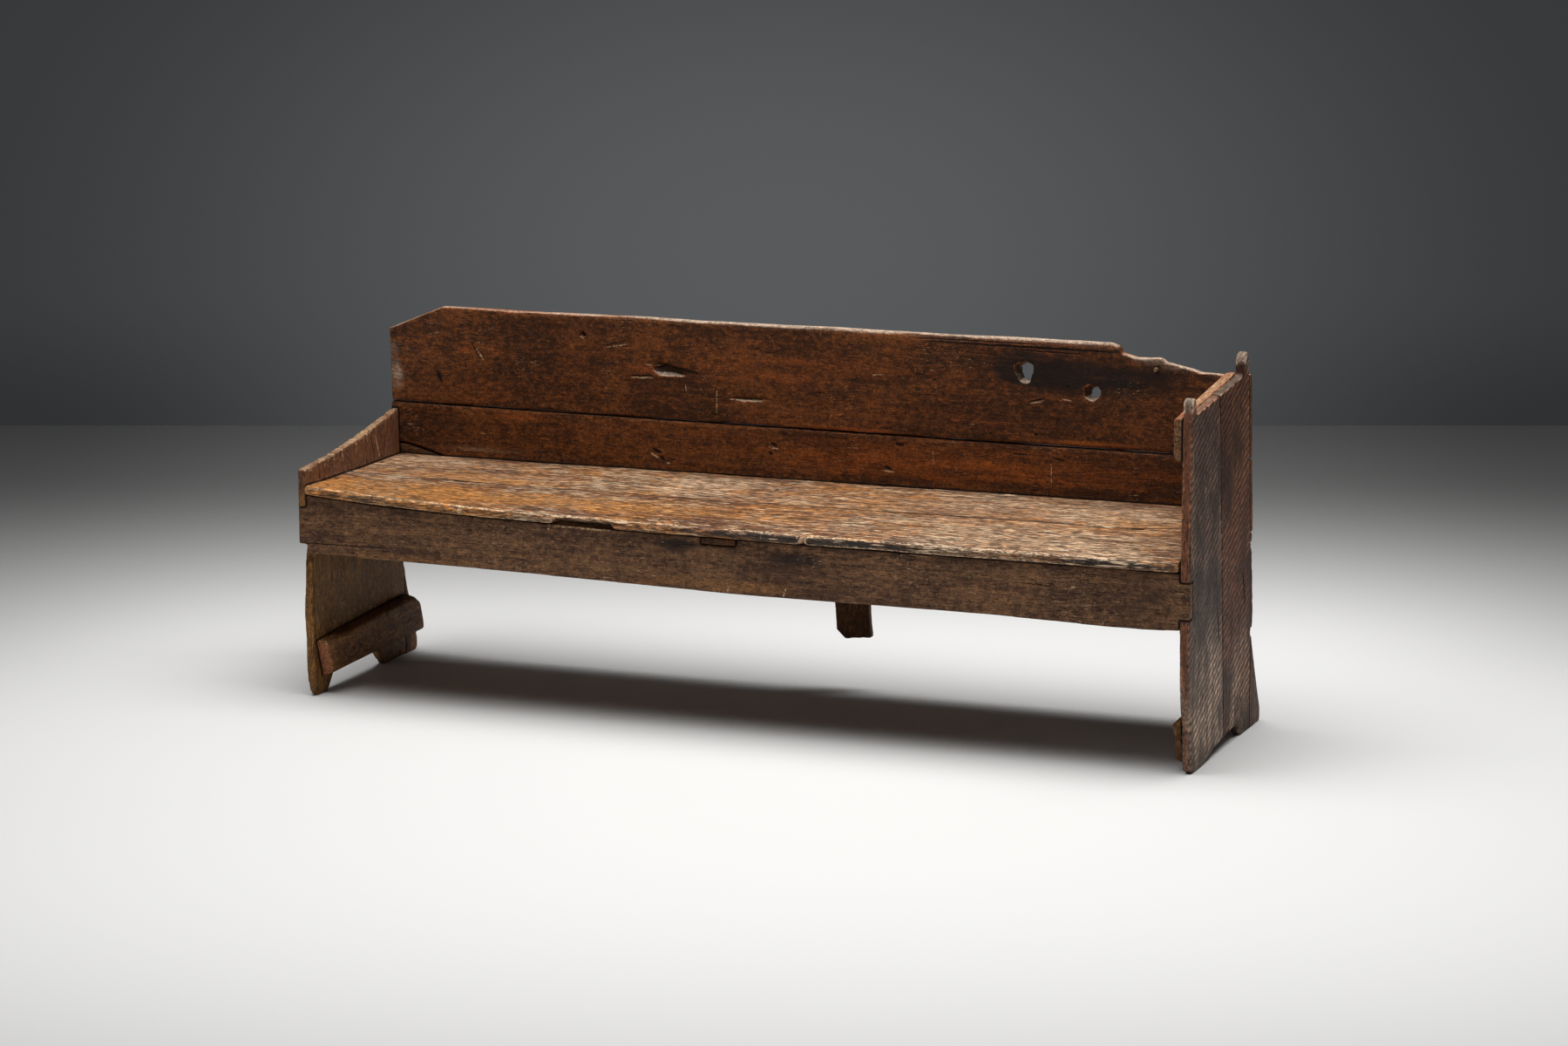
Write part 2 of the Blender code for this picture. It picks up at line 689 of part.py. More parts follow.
def build_seat_cleat(name, x_low, x_high):
    """A batten nailed inside an end to carry the seat boards' ends."""
    rings = []
    for y in (APRON_THICK + GAP, min(ledger_front(x_low), ledger_front(x_high)) - GAP):
        low = under_seat(x_low, x_high, y, y) - CLEAT_HEIGHT
        top = under_seat(x_low, x_high, y, y)
        rings.append([(x_low, y, low), (x_high, y, low), (x_high, y, top), (x_low, y, top)])
    return make_object(name, loft(rings), materials["raw_oak"])


def ledger_front(x):
    """Front face of the rear ledger."""
    level = seat_rear(x) - SEAT_THICK
    return rear_face(x, level) - GAP - LEDGER_THICK


def build_ledger():
    """The strip on the back boards that carries the seat's rear edge."""
    rings = []
    for x in along(LEFT_THICK + GAP, LENGTH - RIGHT_THICK - GAP):
        near = ledger_front(x)
        top = under_seat(x, x, near, near + LEDGER_THICK)
        low = top - LEDGER_HEIGHT
        rings.append([(x, near, low), (x, rear_face(x, low) - GAP, low),
                      (x, rear_face(x, top) - GAP, top), (x, near, top)])
    return make_object("rear_ledger", loft(rings), materials["raw_oak"])


def bearer_rings(grow):
    """The seat bearer, or with grow above zero the notch that it drops into."""
    x_low = BEARER_LEFT - grow
    x_high = BEARER_LEFT + BEARER_WIDTH + grow
    middle = 0.5 * (x_low + x_high)
    far = min(rear_face(x, seat_rear(x)) for x in (x_low, x_high)) - 2.0 * GAP
    rings = []
    for y in (BEARER_RECESS - 10.0 * grow, far + grow):
        top = under_seat(BEARER_LEFT, BEARER_LEFT + BEARER_WIDTH, y, y)
        low = top - BEARER_THICK - grow
        top += 10.0 * grow
        base = [(x_low, y, low), (x_high, y, low)]
        rings.append(base + [(x_high, y, top), (middle, y, top), (x_low, y, top)])
    return rings


def build_bearer(apron, ledger):
    """The strip from front to back, let into the top of the apron and of the ledger."""
    piece = make_object("seat_bearer", loft(bearer_rings(0.0)), materials["raw_oak"])
    notch = make_cutter("bearer_notch", loft(bearer_rings(NOTCH_CLEARANCE)))
    cut(apron, notch)
    cut(ledger, notch)
    return piece


def worn_top(x):
    """Height of the worn band along the upper board's top, up to the broken slope."""
    band_end = LENGTH - BROKEN_EDGE[0][0]
    if x > band_end + 0.001:
        return WORN_TOP_LEFT
    return lerp(WORN_TOP_LEFT, WORN_TOP_RIGHT, x / band_end)


def plain_arris(x):
    return BACK_ARRIS / WORN_TOP_SLOPE


def back_board(name, start, end, low, high, material, marks=(), band=plain_arris):
    """A back board between two edge lines, following the lean of the ends, with worn arrises."""
    rings = []
    for x in along(start, end, marks):
        bottom = low(x)
        top = high(x)
        points = []
        worn = band(x)
        for z, depth in (
            (bottom, BACK_ARRIS), (bottom + BACK_ARRIS, 0.0),
            (top - worn, 0.0), (top, worn * WORN_TOP_SLOPE),
            (top, BACK_THICK - BACK_ARRIS), (top - BACK_ARRIS, BACK_THICK),
            (bottom + BACK_ARRIS, BACK_THICK), (bottom, BACK_THICK - BACK_ARRIS),
        ):
            points.append((x, rear_face(x, z) + GAP + depth, z))
        rings.append(points)
    return make_object(name, loft(rings), materials[material])


def upper_top(x):
    """Top edge of the upper board: clipped left corner, long straight run, broken right-hand slope."""
    straight = lerp(BACK_TOP_LEFT, BACK_TOP_RIGHT, x / LENGTH) + wander(x, BACK_WANDER, 0.45)
    if x < BACK_CORNER_WIDTH:
        return lerp(BACK_CORNER_HEIGHT, straight, x / BACK_CORNER_WIDTH)
    inward = LENGTH - x
    if inward > BROKEN_EDGE[0][0]:
        return straight
    for (far, z_far), (near, z_near) in zip(BROKEN_EDGE, BROKEN_EDGE[1:]):
        if inward >= near:
            return lerp(z_far, z_near, (far - inward) / (far - near))
    return BROKEN_EDGE[-1][1]


def middle_bottom(x):
    """Lower edge of the middle board, which follows the bark side of the log at the left."""
    share = min(x / WANE_WIDTH, 1.0)
    return lerp(WANE_HEIGHT, MIDDLE_BOTTOM, share ** WANE_CURVE)


def knot_cutter(index, x, z, half_width, half_height, depth, slope, tear, taper):
    """An irregular funnel through the front face of the upper board."""
    front = rear_face(x, z)
    reach = BACK_THICK * depth
    exit_level, exit_width = reach, KNOT_FLOOR_WIDTH
    if depth >= 1.0:
        exit_level, exit_width = reach + CUT_CLEAR, KNOT_EXIT_WIDTH
    rings = []
    for level, width, torn in (
        (-CUT_CLEAR, KNOT_MOUTH_WIDTH, tear),
        (KNOT_THROAT * reach, 1.0, KNOT_THROAT_TEAR * tear),
        (exit_level, exit_width, 0.0),
    ):
        ring = []
        for k in range(KNOT_POINTS):
            turn = 2.0 * math.pi * k / KNOT_POINTS
            uneven = 1.0 + KNOT_RAGGED[0] * math.sin(3.0 * turn + index)
            uneven += KNOT_RAGGED[1] * math.sin(5.0 * turn + 2.0 * index)
            across = half_width * width * uneven * math.cos(turn) - torn * max(-math.cos(turn), 0.0)
            up = half_height * width * uneven * math.sin(turn) * (1.0 - taper * math.cos(turn))
            ring.append((x + across, front + level, z + up + slope * across))
        rings.append(ring)
    return make_cutter(f"knot_{index}", loft(rings))


def build_back():
    """The four boards of the back."""
    edge_marks = (BACK_CORNER_WIDTH, *(LENGTH - inward for inward, _ in BROKEN_EDGE[:-1]))
    half_open = 0.5 * SEAM_OPEN
    wane_marks = [WANE_WIDTH * k / WANE_STEPS for k in range(1, WANE_STEPS + 1)]
    upper = back_board(
        "back_upper_board", UPPER_START, LENGTH,
        lambda x: BACK_SEAM + half_open, upper_top, "back_oak", edge_marks,
        worn_top)
    middle = back_board(
        "back_middle_board", MIDDLE_START, LENGTH,
        middle_bottom, lambda x: BACK_SEAM - half_open, "back_oak",
        wane_marks)
    filler = back_board(
        "back_filler_board", MIDDLE_START, LENGTH,
        lambda x: FILLER_BOTTOM, lambda x: middle_bottom(x) - half_open, "back_oak", wane_marks)
    lower = back_board(
        "back_lower_board", LOWER_START, LENGTH,
        lambda x: LOWER_BOTTOM, lambda x: FILLER_BOTTOM - half_open, "back_oak")
    for index, knot in enumerate(KNOT_HOLES):
        cut(upper, knot_cutter(index, *knot))
    return upper, middle, filler, lower


def build_back_batten(name, start, bottom, skew):
    """An upright on the rear of the back boards. A skewed one ends in a ragged break."""
    rings = []
    for k, broken in enumerate(BATTEN_BREAK):
        x = start + BACK_BATTEN_WIDTH * k / (len(BATTEN_BREAK) - 1)
        low = bottom + (broken if skew else 0.0)
        top = BACK_BATTEN_TOP
        ring = []
        for z, depth in ((low, 0.0), (top, 0.0), (top, BATTEN_THICK), (low, BATTEN_THICK)):
            lean = skew * (BACK_BATTEN_TOP - z) / (BACK_BATTEN_TOP - bottom)
            back = back_line(x + lean, z) + 2.0 * GAP + BACK_THICK
            ring.append((x + lean, back + depth, z))
        rings.append(ring)
    return make_object(name, loft(rings), materials["raw_oak"])


def nail_rings(length, grow):
    """A square forged nail along -Z from its head, or with grow above zero the hole that it fills."""
    head = 0.5 * NAIL_HEAD + grow
    shank = 0.5 * NAIL_SHANK + grow
    tip = 0.5 * NAIL_TIP + grow
    crown = 0.35 * head if grow == 0.0 else head
    crown_height = NAIL_PROUD if grow == 0.0 else NAIL_PROUD + 10.0 * grow
    levels = (
        (crown, crown_height), (head, -0.3 * NAIL_HEAD_HEIGHT), (head, -NAIL_HEAD_HEIGHT - grow),
        (shank, -NAIL_HEAD_HEIGHT - grow), (tip, -length - grow),
    )
    corners = ((1, 1), (-1, 1), (-1, -1), (1, -1))
    return [[(half * i, half * j, z) for i, j in corners] for half, z in levels]


def nail_mesh(length, grow):
    """A nail's mesh, or its hole's. Nails of one length share one mesh."""
    name = f"nail_{round(length * 1000)}_mm" + ("_hole" if grow else "")
    if name not in bpy.data.meshes:
        bm = loft(nail_rings(length, grow))
        bmesh.ops.recalc_face_normals(bm, faces=bm.faces)
        mesh = bpy.data.meshes.new(name)
        bm.to_mesh(mesh)
        bm.free()
        mesh.materials.append(materials["nail_iron"])
    return bpy.data.meshes[name]


def drive_nails(name, places, boards):
    """Nails, and their holes in the boards that they join.

    A place is the point on the face, the way the nail points and its length.
    """
    holes = bmesh.new()
    for count, (point, direction, length) in enumerate(places, start=1):
        turn = Vector((0.0, 0.0, -1.0)).rotation_difference(Vector(direction).normalized())
        nail = bpy.data.objects.new(f"{name}_{count}", nail_mesh(length, 0.0))
        bpy.context.scene.collection.objects.link(nail)
        nail.parent = bench
        nail.location = point
        nail.rotation_euler = turn.to_euler()
        one = bmesh.new()
        one.from_mesh(nail_mesh(length, GAP))
        place = Matrix.Translation(Vector(point)) @ turn.to_matrix().to_4x4()
        bmesh.ops.transform(one, matrix=place, verts=one.verts)
        moved = bpy.data.meshes.new("moved_hole")
        one.to_mesh(moved)
        one.free()
        holes.from_mesh(moved)
        bpy.data.meshes.remove(moved)
    cutter = make_cutter(name + "_holes", holes)
    for board in boards:
        cut(board, cutter)


def back_place(x, z, depth, length):
    """A nail driven forward into the back, square to its leaning face."""
    slope_z = (rear_face(x, z + 0.01) - rear_face(x, z)) / 0.01
    slope_x = (rear_face(x + 0.01, z) - rear_face(x, z)) / 0.01
    return (x, rear_face(x, z) + depth, z), (slope_x, -1.0, slope_z), length


def seat_place(x, y, length):
    """A nail driven down through the seat, square to its top."""
    slope = (seat_top(x, y + 0.01) - seat_top(x, y)) / 0.01
    return (x, y, seat_top(x, y)), (0.0, slope, -1.0), length


def right_board_middles(z):
    """The middle lines of the right end's two boards at one height."""
    joint = joint_line(z)
    return 0.5 * joint, 0.5 * (joint + rear_face(LENGTH, z))


def seat_board_lines(x, share):
    """A line along each seat board, at this share of the way back across it."""
    return share * SEAT_SEAM, lerp(SEAT_SEAM, ledger_front(x), share)


def build_nails(parts):
    """All nails, grouped by the joint that they hold."""
    forward = (0.0, 1.0, 0.0)
    left_mid = 0.5 * LEFT_THICK
    right_mid = LENGTH - 0.5 * RIGHT_THICK
    tongue_left = lerp(TONGUE_BOTTOM_LEFT, TONGUE_TOP_LEFT, 0.5)
    tongue_right = lerp(TONGUE_BOTTOM_RIGHT, TONGUE_TOP_RIGHT, 0.5)
    places = [((x, 0.0, z), forward, APRON_THICK + EDGE_NAIL_HOLD)
              for x, z in ((left_mid, tongue_left), (right_mid, tongue_right))]
    drive_nails("nail_apron", places, (parts["apron"], parts["left_end"], parts["right_front"]))

    batten_x = LEFT_THICK + GAP + LEFT_BATTEN_THICK
    places = [((batten_x, y, lerp(LEFT_BATTEN_BOTTOM, LEFT_BATTEN_TOP, share)), (-1.0, 0.0, 0.0),
               LEFT_BATTEN_THICK + NAIL_HOLD) for y, share in LEFT_BATTEN_NAILS]
    drive_nails("nail_left_batten", places, (parts["left_batten"], parts["left_end"]))

    batten_x = LENGTH - RIGHT_THICK - GAP - RIGHT_BATTEN_THICK
    level = lerp(RIGHT_BATTEN_BOTTOM, RIGHT_BATTEN_TOP, 0.5)
    boards = (parts["right_front"], parts["right_rear"])
    places = [((batten_x, y, level), (1.0, 0.0, 0.0), RIGHT_BATTEN_THICK + NAIL_HOLD)
              for y in right_board_middles(level)]
    drive_nails("nail_right_batten", places, (parts["right_batten"], *boards))

    places = []
    for y in right_board_middles(RIGHT_TOP_FRONT):
        point = (LENGTH - RIGHT_THICK - GAP - arm_cleat_thick(y), y, right_top(y) - 0.5 * ARM_CLEAT_HEIGHT)
        places.append((point, (1.0, 0.0, 0.0), ARM_CLEAT_REAR + ARM_NAIL_HOLD))
    drive_nails("nail_arm_cleat", places, (parts["arm_cleat"], *boards))

    places = []
    for face_x, side in ((LEFT_THICK + GAP, 1.0), (LENGTH - RIGHT_THICK - GAP, -1.0)):
        x = face_x + side * CLEAT_THICK
        for y in seat_board_lines(x, CLEAT_NAIL_SHARE):
            z = under_seat(face_x, x, y, y) - 0.5 * CLEAT_HEIGHT
            places.append(((x, y, z), (-side, 0.0, 0.0), CLEAT_THICK + NAIL_HOLD))
    drive_nails("nail_seat_cleat", places,
                (parts["cleat_left"], parts["cleat_right"], parts["left_end"], *boards))

    places = []
    for x in LEDGER_NAILS:
        z = seat_rear(x) - SEAT_THICK - 0.3 * LEDGER_HEIGHT
        places.append(((x, ledger_front(x), z), forward, LEDGER_THICK + NAIL_HOLD))
    drive_nails("nail_ledger", places, (parts["ledger"], parts["filler"], parts["middle"]))

    places = []
    for x in (LEFT_THICK + 0.5 * CLEAT_THICK, LENGTH - RIGHT_THICK - 0.5 * CLEAT_THICK):
        places += [seat_place(x, y, SEAT_THICK + NAIL_HOLD) for y in seat_board_lines(x, SEAT_NAIL_SHARE)]
    middle = BEARER_LEFT + 0.5 * BEARER_WIDTH
    places += [seat_place(middle, y, SEAT_THICK + BEARER_NAIL_SHARE * BEARER_THICK)
               for y in seat_board_lines(middle, SEAT_NAIL_SHARE)]
    drive_nails("nail_seat", places,
                (parts["seat_front"], parts["seat_rear"], parts["cleat_left"], parts["cleat_right"],
                 parts["bearer"]))

    outside = BACK_THICK + GAP
    into_edge = BACK_THICK + EDGE_NAIL_HOLD
    filler = lerp(FILLER_BOTTOM, MIDDLE_BOTTOM, 0.5)
    lower = lerp(LOWER_BOTTOM, FILLER_BOTTOM, 0.5)
    filler_left = lerp(FILLER_BOTTOM, WANE_HEIGHT, 0.5)
    middle_left = lerp(WANE_HEIGHT, ARM_REAR, 0.5)
    middle_right = lerp(MIDDLE_BOTTOM, BACK_SEAM, 0.55)
    upper = lerp(BACK_SEAM, RIGHT_TOP_REAR, 0.5)
    places = [back_place(left_mid, z, outside, into_edge) for z in (lower, filler_left, middle_left)]
    places += [back_place(right_mid, z, outside, into_edge) for z in (lower, filler, middle_right, upper)]
    drive_nails("nail_back", places,
                (parts["upper"], parts["middle"], parts["filler"], parts["lower"], parts["left_end"],
                 parts["right_rear"]))

    outside = BACK_THICK + 2.0 * GAP + BATTEN_THICK
    places = []
    for start, skew in ((LEFT_BACK_BATTEN, 0.0), (MIDDLE_BACK_BATTEN, BATTEN_SKEW)):
        for z, share in ((lower, 0.35), (middle_left, 0.65), (upper, 0.35)):
            x = start + skew * 0.5 + BACK_BATTEN_WIDTH * share
            places.append(back_place(x, z, outside, BATTEN_THICK + NAIL_HOLD))
    drive_nails("nail_back_batten", places,
                (parts["back_batten_left"], parts["back_batten_middle"], parts["upper"], parts["middle"],
                 parts["lower"]))


def peg(x, y_front, y_back, z, radius):
    """A round peg along Y, slightly domed at the front."""
    rings = []
    for y, share in ((y_front, 0.6), (y_front + PEG_DOME, 1.0), (y_back, 0.95)):
        ring = []
        for k in range(PEG_SIDES):
            turn = 2.0 * math.pi * k / PEG_SIDES
            ring.append((x + radius * share * math.cos(turn), y, z + radius * share * math.sin(turn)))
        rings.append(ring)
    return loft(rings)


def hole(x, y_front, y_back, z, radius):
    rings = []
    for y in (y_front, y_back):
        ring = []
        for k in range(PEG_SIDES):
            turn = 2.0 * math.pi * k / PEG_SIDES
            ring.append((x + radius * math.cos(turn), y, z + radius * math.sin(turn)))
        rings.append(ring)
    return loft(rings)


def build_pegs(parts):
    """The peg in the apron and the broken stub in the upper back board."""
    x, z = APRON_PEG
    apron_peg = peg(x, -PEG_PROUD, PEG_REACH * APRON_THICK, z, PEG_RADIUS)
    make_object("apron_peg", apron_peg, materials["raw_oak"])
    cutter = hole(x, -CUT_CLEAR, PEG_REACH * APRON_THICK + GAP, z, PEG_RADIUS + GAP)
    cut(parts["apron"], make_cutter("apron_peg_hole", cutter))
    inward, z = BACK_PEG
    x = LENGTH - inward
    face = rear_face(x, z)
    back_peg = peg(x, face - PEG_STUB, face + PEG_REACH * BACK_THICK, z, PEG_RADIUS)
    make_object("back_peg_stub", back_peg, materials["raw_oak"])
    cutter = hole(x, face - CUT_CLEAR, face + PEG_REACH * BACK_THICK + GAP, z, PEG_RADIUS + GAP)
    cut(parts["upper"], make_cutter("back_peg_hole", cutter))


def place_bench():
    """Move the bench so that the middle of its footprint is at the origin."""
    bpy.context.view_layer.update()
    depths = []
    for piece in bench.children:
        if not piece.hide_render:
            depths += [(piece.matrix_local @ vertex.co).y for vertex in piece.data.vertices]
    bench.location = (-0.5 * LENGTH, -0.5 * (min(depths) + max(depths)), 0.0)


clear_scene()
bench = bpy.data.objects.new("bench", None)
bpy.context.scene.collection.objects.link(bench)
materials = {name: make_material(name) for name in COLOURS}

pieces = {
    "left_end": build_left_end(),
    "right_front": build_right_front_board(),
    "right_rear": build_right_rear_board(),
    "wedge_left": build_wedge("left_rear_wedge", 0.0, LEFT_THICK, LEFT_DEPTH, LEFT_FLARE),
    "wedge_right": build_wedge("right_rear_wedge", LENGTH - RIGHT_THICK, LENGTH, RIGHT_DEPTH, RIGHT_FLARE),
    "left_batten": build_foot_batten(
        "left_batten", LEFT_THICK, 1.0, LEFT_BATTEN_THICK, LEFT_BATTEN_FRONT, LEFT_BATTEN_BACK,
        LEFT_BATTEN_BOTTOM, LEFT_BATTEN_TOP, LEFT_BATTEN_RISE, LEFT_BATTEN_SLOPES),
    "right_batten": build_foot_batten(
        "right_batten", LENGTH - RIGHT_THICK, -1.0, RIGHT_BATTEN_THICK, RIGHT_BATTEN_FRONT,
        RIGHT_BATTEN_BACK, RIGHT_BATTEN_BOTTOM, RIGHT_BATTEN_TOP, RIGHT_BATTEN_RISE,
        RIGHT_BATTEN_SLOPES),
    "arm_cleat": build_arm_cleat(),
    "apron": build_apron(),
    "seat_front": build_seat_front_board(),
    "seat_rear": build_seat_rear_board(),
    "ledger": build_ledger(),
}
left_face = LEFT_THICK + GAP
right_face = LENGTH - RIGHT_THICK - GAP
pieces["cleat_left"] = build_seat_cleat("seat_cleat_left", left_face, left_face + CLEAT_THICK)
pieces["cleat_right"] = build_seat_cleat("seat_cleat_right", right_face - CLEAT_THICK, right_face)
pieces["bearer"] = build_bearer(pieces["apron"], pieces["ledger"])
pieces["upper"], pieces["middle"], pieces["filler"], pieces["lower"] = build_back()
pieces["back_batten_left"] = build_back_batten(
    "back_batten_left", LEFT_BACK_BATTEN, LEFT_BACK_BATTEN_BOTTOM, 0.0)
pieces["back_batten_middle"] = build_back_batten(
    "back_batten_middle", MIDDLE_BACK_BATTEN, MIDDLE_BACK_BATTEN_BOTTOM, BATTEN_SKEW)
build_nails(pieces)
build_pegs(pieces)
place_bench()
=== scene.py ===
"""Old plank bench: weathered planks, a worn seat, rusty nails and a plain studio."""

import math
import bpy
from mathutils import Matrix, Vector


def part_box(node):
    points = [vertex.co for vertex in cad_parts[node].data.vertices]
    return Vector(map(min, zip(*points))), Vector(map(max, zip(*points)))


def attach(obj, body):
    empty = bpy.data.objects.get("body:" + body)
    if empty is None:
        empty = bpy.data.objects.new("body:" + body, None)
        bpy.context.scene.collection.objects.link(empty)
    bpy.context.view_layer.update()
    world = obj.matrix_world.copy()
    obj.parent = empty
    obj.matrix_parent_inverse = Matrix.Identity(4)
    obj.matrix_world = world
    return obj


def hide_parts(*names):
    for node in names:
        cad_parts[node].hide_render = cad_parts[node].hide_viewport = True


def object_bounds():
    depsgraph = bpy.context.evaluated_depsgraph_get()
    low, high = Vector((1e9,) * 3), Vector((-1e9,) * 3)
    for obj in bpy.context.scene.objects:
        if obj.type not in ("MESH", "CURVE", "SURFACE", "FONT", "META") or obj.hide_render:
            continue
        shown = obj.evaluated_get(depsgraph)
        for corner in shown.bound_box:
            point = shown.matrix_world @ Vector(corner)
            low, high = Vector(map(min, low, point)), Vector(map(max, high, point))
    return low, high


bl_info = {
    "name": "Old Plank Bench",
    "version": (1, 0, 0),
    "blender": (4, 5, 0),
    "location": "View3D > Sidebar > Bench",
    "description": "Dresses the planks of an old bench in worn oak and sets it in a plain studio",
    "category": "Object",
}

import bmesh
import bpy
import numpy as np
from bpy.props import FloatProperty, FloatVectorProperty, PointerProperty
from mathutils import Matrix, Vector
from mathutils.bvhtree import BVHTree

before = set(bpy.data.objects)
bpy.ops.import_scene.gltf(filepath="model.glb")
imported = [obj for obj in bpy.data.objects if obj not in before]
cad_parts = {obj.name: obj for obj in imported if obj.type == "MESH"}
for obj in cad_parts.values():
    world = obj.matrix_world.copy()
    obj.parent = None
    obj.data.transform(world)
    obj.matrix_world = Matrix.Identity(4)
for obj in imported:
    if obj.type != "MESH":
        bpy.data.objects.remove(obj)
CAD_BOX = [list(corner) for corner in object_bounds()]
MM = 0.001

# Measures on the bench run from its left end, from the apron's front face and from the floor.
BENCH_CORNER = (CAD_BOX[0][0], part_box("apron")[0].y, 0.0)
PLANES = {"front": (0, 2), "top": (0, 1), "side": (1, 2)}

# The three ways that the grain runs: the turn that lays it along X, and its axis
GRAINS = {
    "along": ((0.0, 0.0, 0.0), 0),
    "upright": ((0.0, math.pi / 2, 0.0), 2),
    "deep": ((0.0, 0.0, math.pi / 2), 1),
}

# What each colour is for, and its screen values
PAINTS = {
    "back_dark": ("Deep brown of the back boards", (64, 35, 16)),
    "back_light": ("Rubbed brown of the back boards", (124, 71, 33)),
    "back_glow": ("Orange where the back is rubbed most", (148, 80, 34)),
    "seat_honey": ("Polished front of the seat", (168, 111, 55)),
    # Seat worn is also the colour of painted highlights on the left arm's top, the cleat's top and the
    # apron's top edge.
    "seat_worn_and_highlight": ("Bare tan of the worn seat", (160, 126, 96)),
    "seat_chip": ("Pale chips on the seat", (224, 192, 156)),
    "seat_dark": ("Dark figure of the seat", (100, 64, 44)),
    "apron_dark": ("Dark brown of the apron", (76, 51, 36)),
    "apron_light": ("Rubbed brown of the apron", (128, 92, 62)),
    "left_dark": ("Dark brown of the left end", (106, 70, 32)),
    "left_light": ("Rubbed brown of the left end", (148, 105, 50)),
    "right_dark": ("Dark brown of the right end", (64, 44, 33)),
    "right_light": ("Rubbed brown of the right end", (106, 82, 68)),
    "rear_dark": ("Dark red brown of the right end's rear board", (74, 43, 29)),
    "rear_light": ("Rubbed red brown of the right end's rear board", (114, 76, 54)),
    "edge_red": ("Red brown of the ends' front edges", (154, 96, 64)),
    "foot_dark": ("Dark brown of battens and feet", (102, 65, 34)),
    "foot_light": ("Rubbed brown of battens and feet", (140, 98, 58)),
    # Weathered is also the colour of painted highlights on the right end's tops, the back's ridge, the lobes
    # and the knot lips.
    "weathered": ("Silver grey of bare old wood", (176, 152, 132)),
    "raw_dark": ("Dark side of unfinished oak", (96, 76, 56)),
    "raw_light": ("Light side of unfinished oak", (156, 128, 96)),
    "edge": ("Pale wood along the worn arrises", (206, 172, 136)),
    "torn": ("Orange wood where a board is torn", (176, 104, 52)),
    # Soot also paints the shade deep in the knot holes.
    "soot": ("Black stain round the knots", (24, 20, 19)),
    # Gap is also the colour of the dirt and painted shade where two boards meet.
    "gap": ("Dark inside of cracks and pores", (22, 14, 10)),
    "iron": ("Rusty black iron", (52, 42, 36)),
    "rust": ("Rust on the nails", (110, 62, 36)),
    "floor": ("Pale floor", (236, 236, 236)),
    "wall": ("Grey backdrop", (88, 90, 92)),
}


def tint(screen):
    """A colour from its 0 to 255 screen values."""
    shares = (value / 255.0 for value in screen)
    return tuple(share / 12.92 if share <= 0.04045 else ((share + 0.055) / 1.055) ** 2.4 for share in shares)


def colour_property(key):
    note, screen = PAINTS[key]
    return FloatVectorProperty(
        name=key.replace("_", " ").capitalize(), description=note, default=tint(screen), subtype="COLOR",
        size=3, min=0.0, max=1.0)


def size_property(name, description, default, highest):
    return FloatProperty(
        name=name, description=description, default=default, min=0.0, max=highest, precision=4,
        subtype="DISTANCE", unit="LENGTH")


class BenchWear(bpy.types.PropertyGroup):
    """Sizes of the wear on the planks."""

    finest: size_property("Finest facets", "Facet size on boards with lobes and nicks", 0.0026, 0.02)
    fine: size_property("Fine facets", "Facet size on boards with small forms", 0.0031, 0.02)
    broad: size_property("Broad facets", "Facet size on the broad boards", 0.0033, 0.02)
    hidden: size_property("Hidden facets", "Facet size on boards under and behind the bench", 0.0055, 0.02)
    ripple: size_property("Ripple", "Depth of the hand-planed hollows", 0.0009, 0.01)
    # Dirt also sets how far the painted shade where two boards meet reaches.
    dirt_and_shade: size_property("Dirt", "How far dirt spreads from where two boards meet", 0.006, 0.05)
    chip: size_property("Chips", "Depth of the chips along the arrises", 0.0030, 0.01)


class BenchColours(bpy.types.PropertyGroup):
    """Colours of the wood, the iron and the studio."""

    __annotations__ = {key: colour_property(key) for key in PAINTS}


class BenchStudio(bpy.types.PropertyGroup):
    """The camera and the lamps."""

    lens: FloatProperty(
        name="Lens", description="Focal length", default=111.017, min=20.0, max=300.0, unit="CAMERA")
    softbox: FloatProperty(
        name="Softbox", description="Power of the softbox overhead", default=133.0, min=0.0)
    fill: FloatProperty(
        name="Fill", description="Strength of the light from all round", default=0.062, min=0.0)


# Shader groups


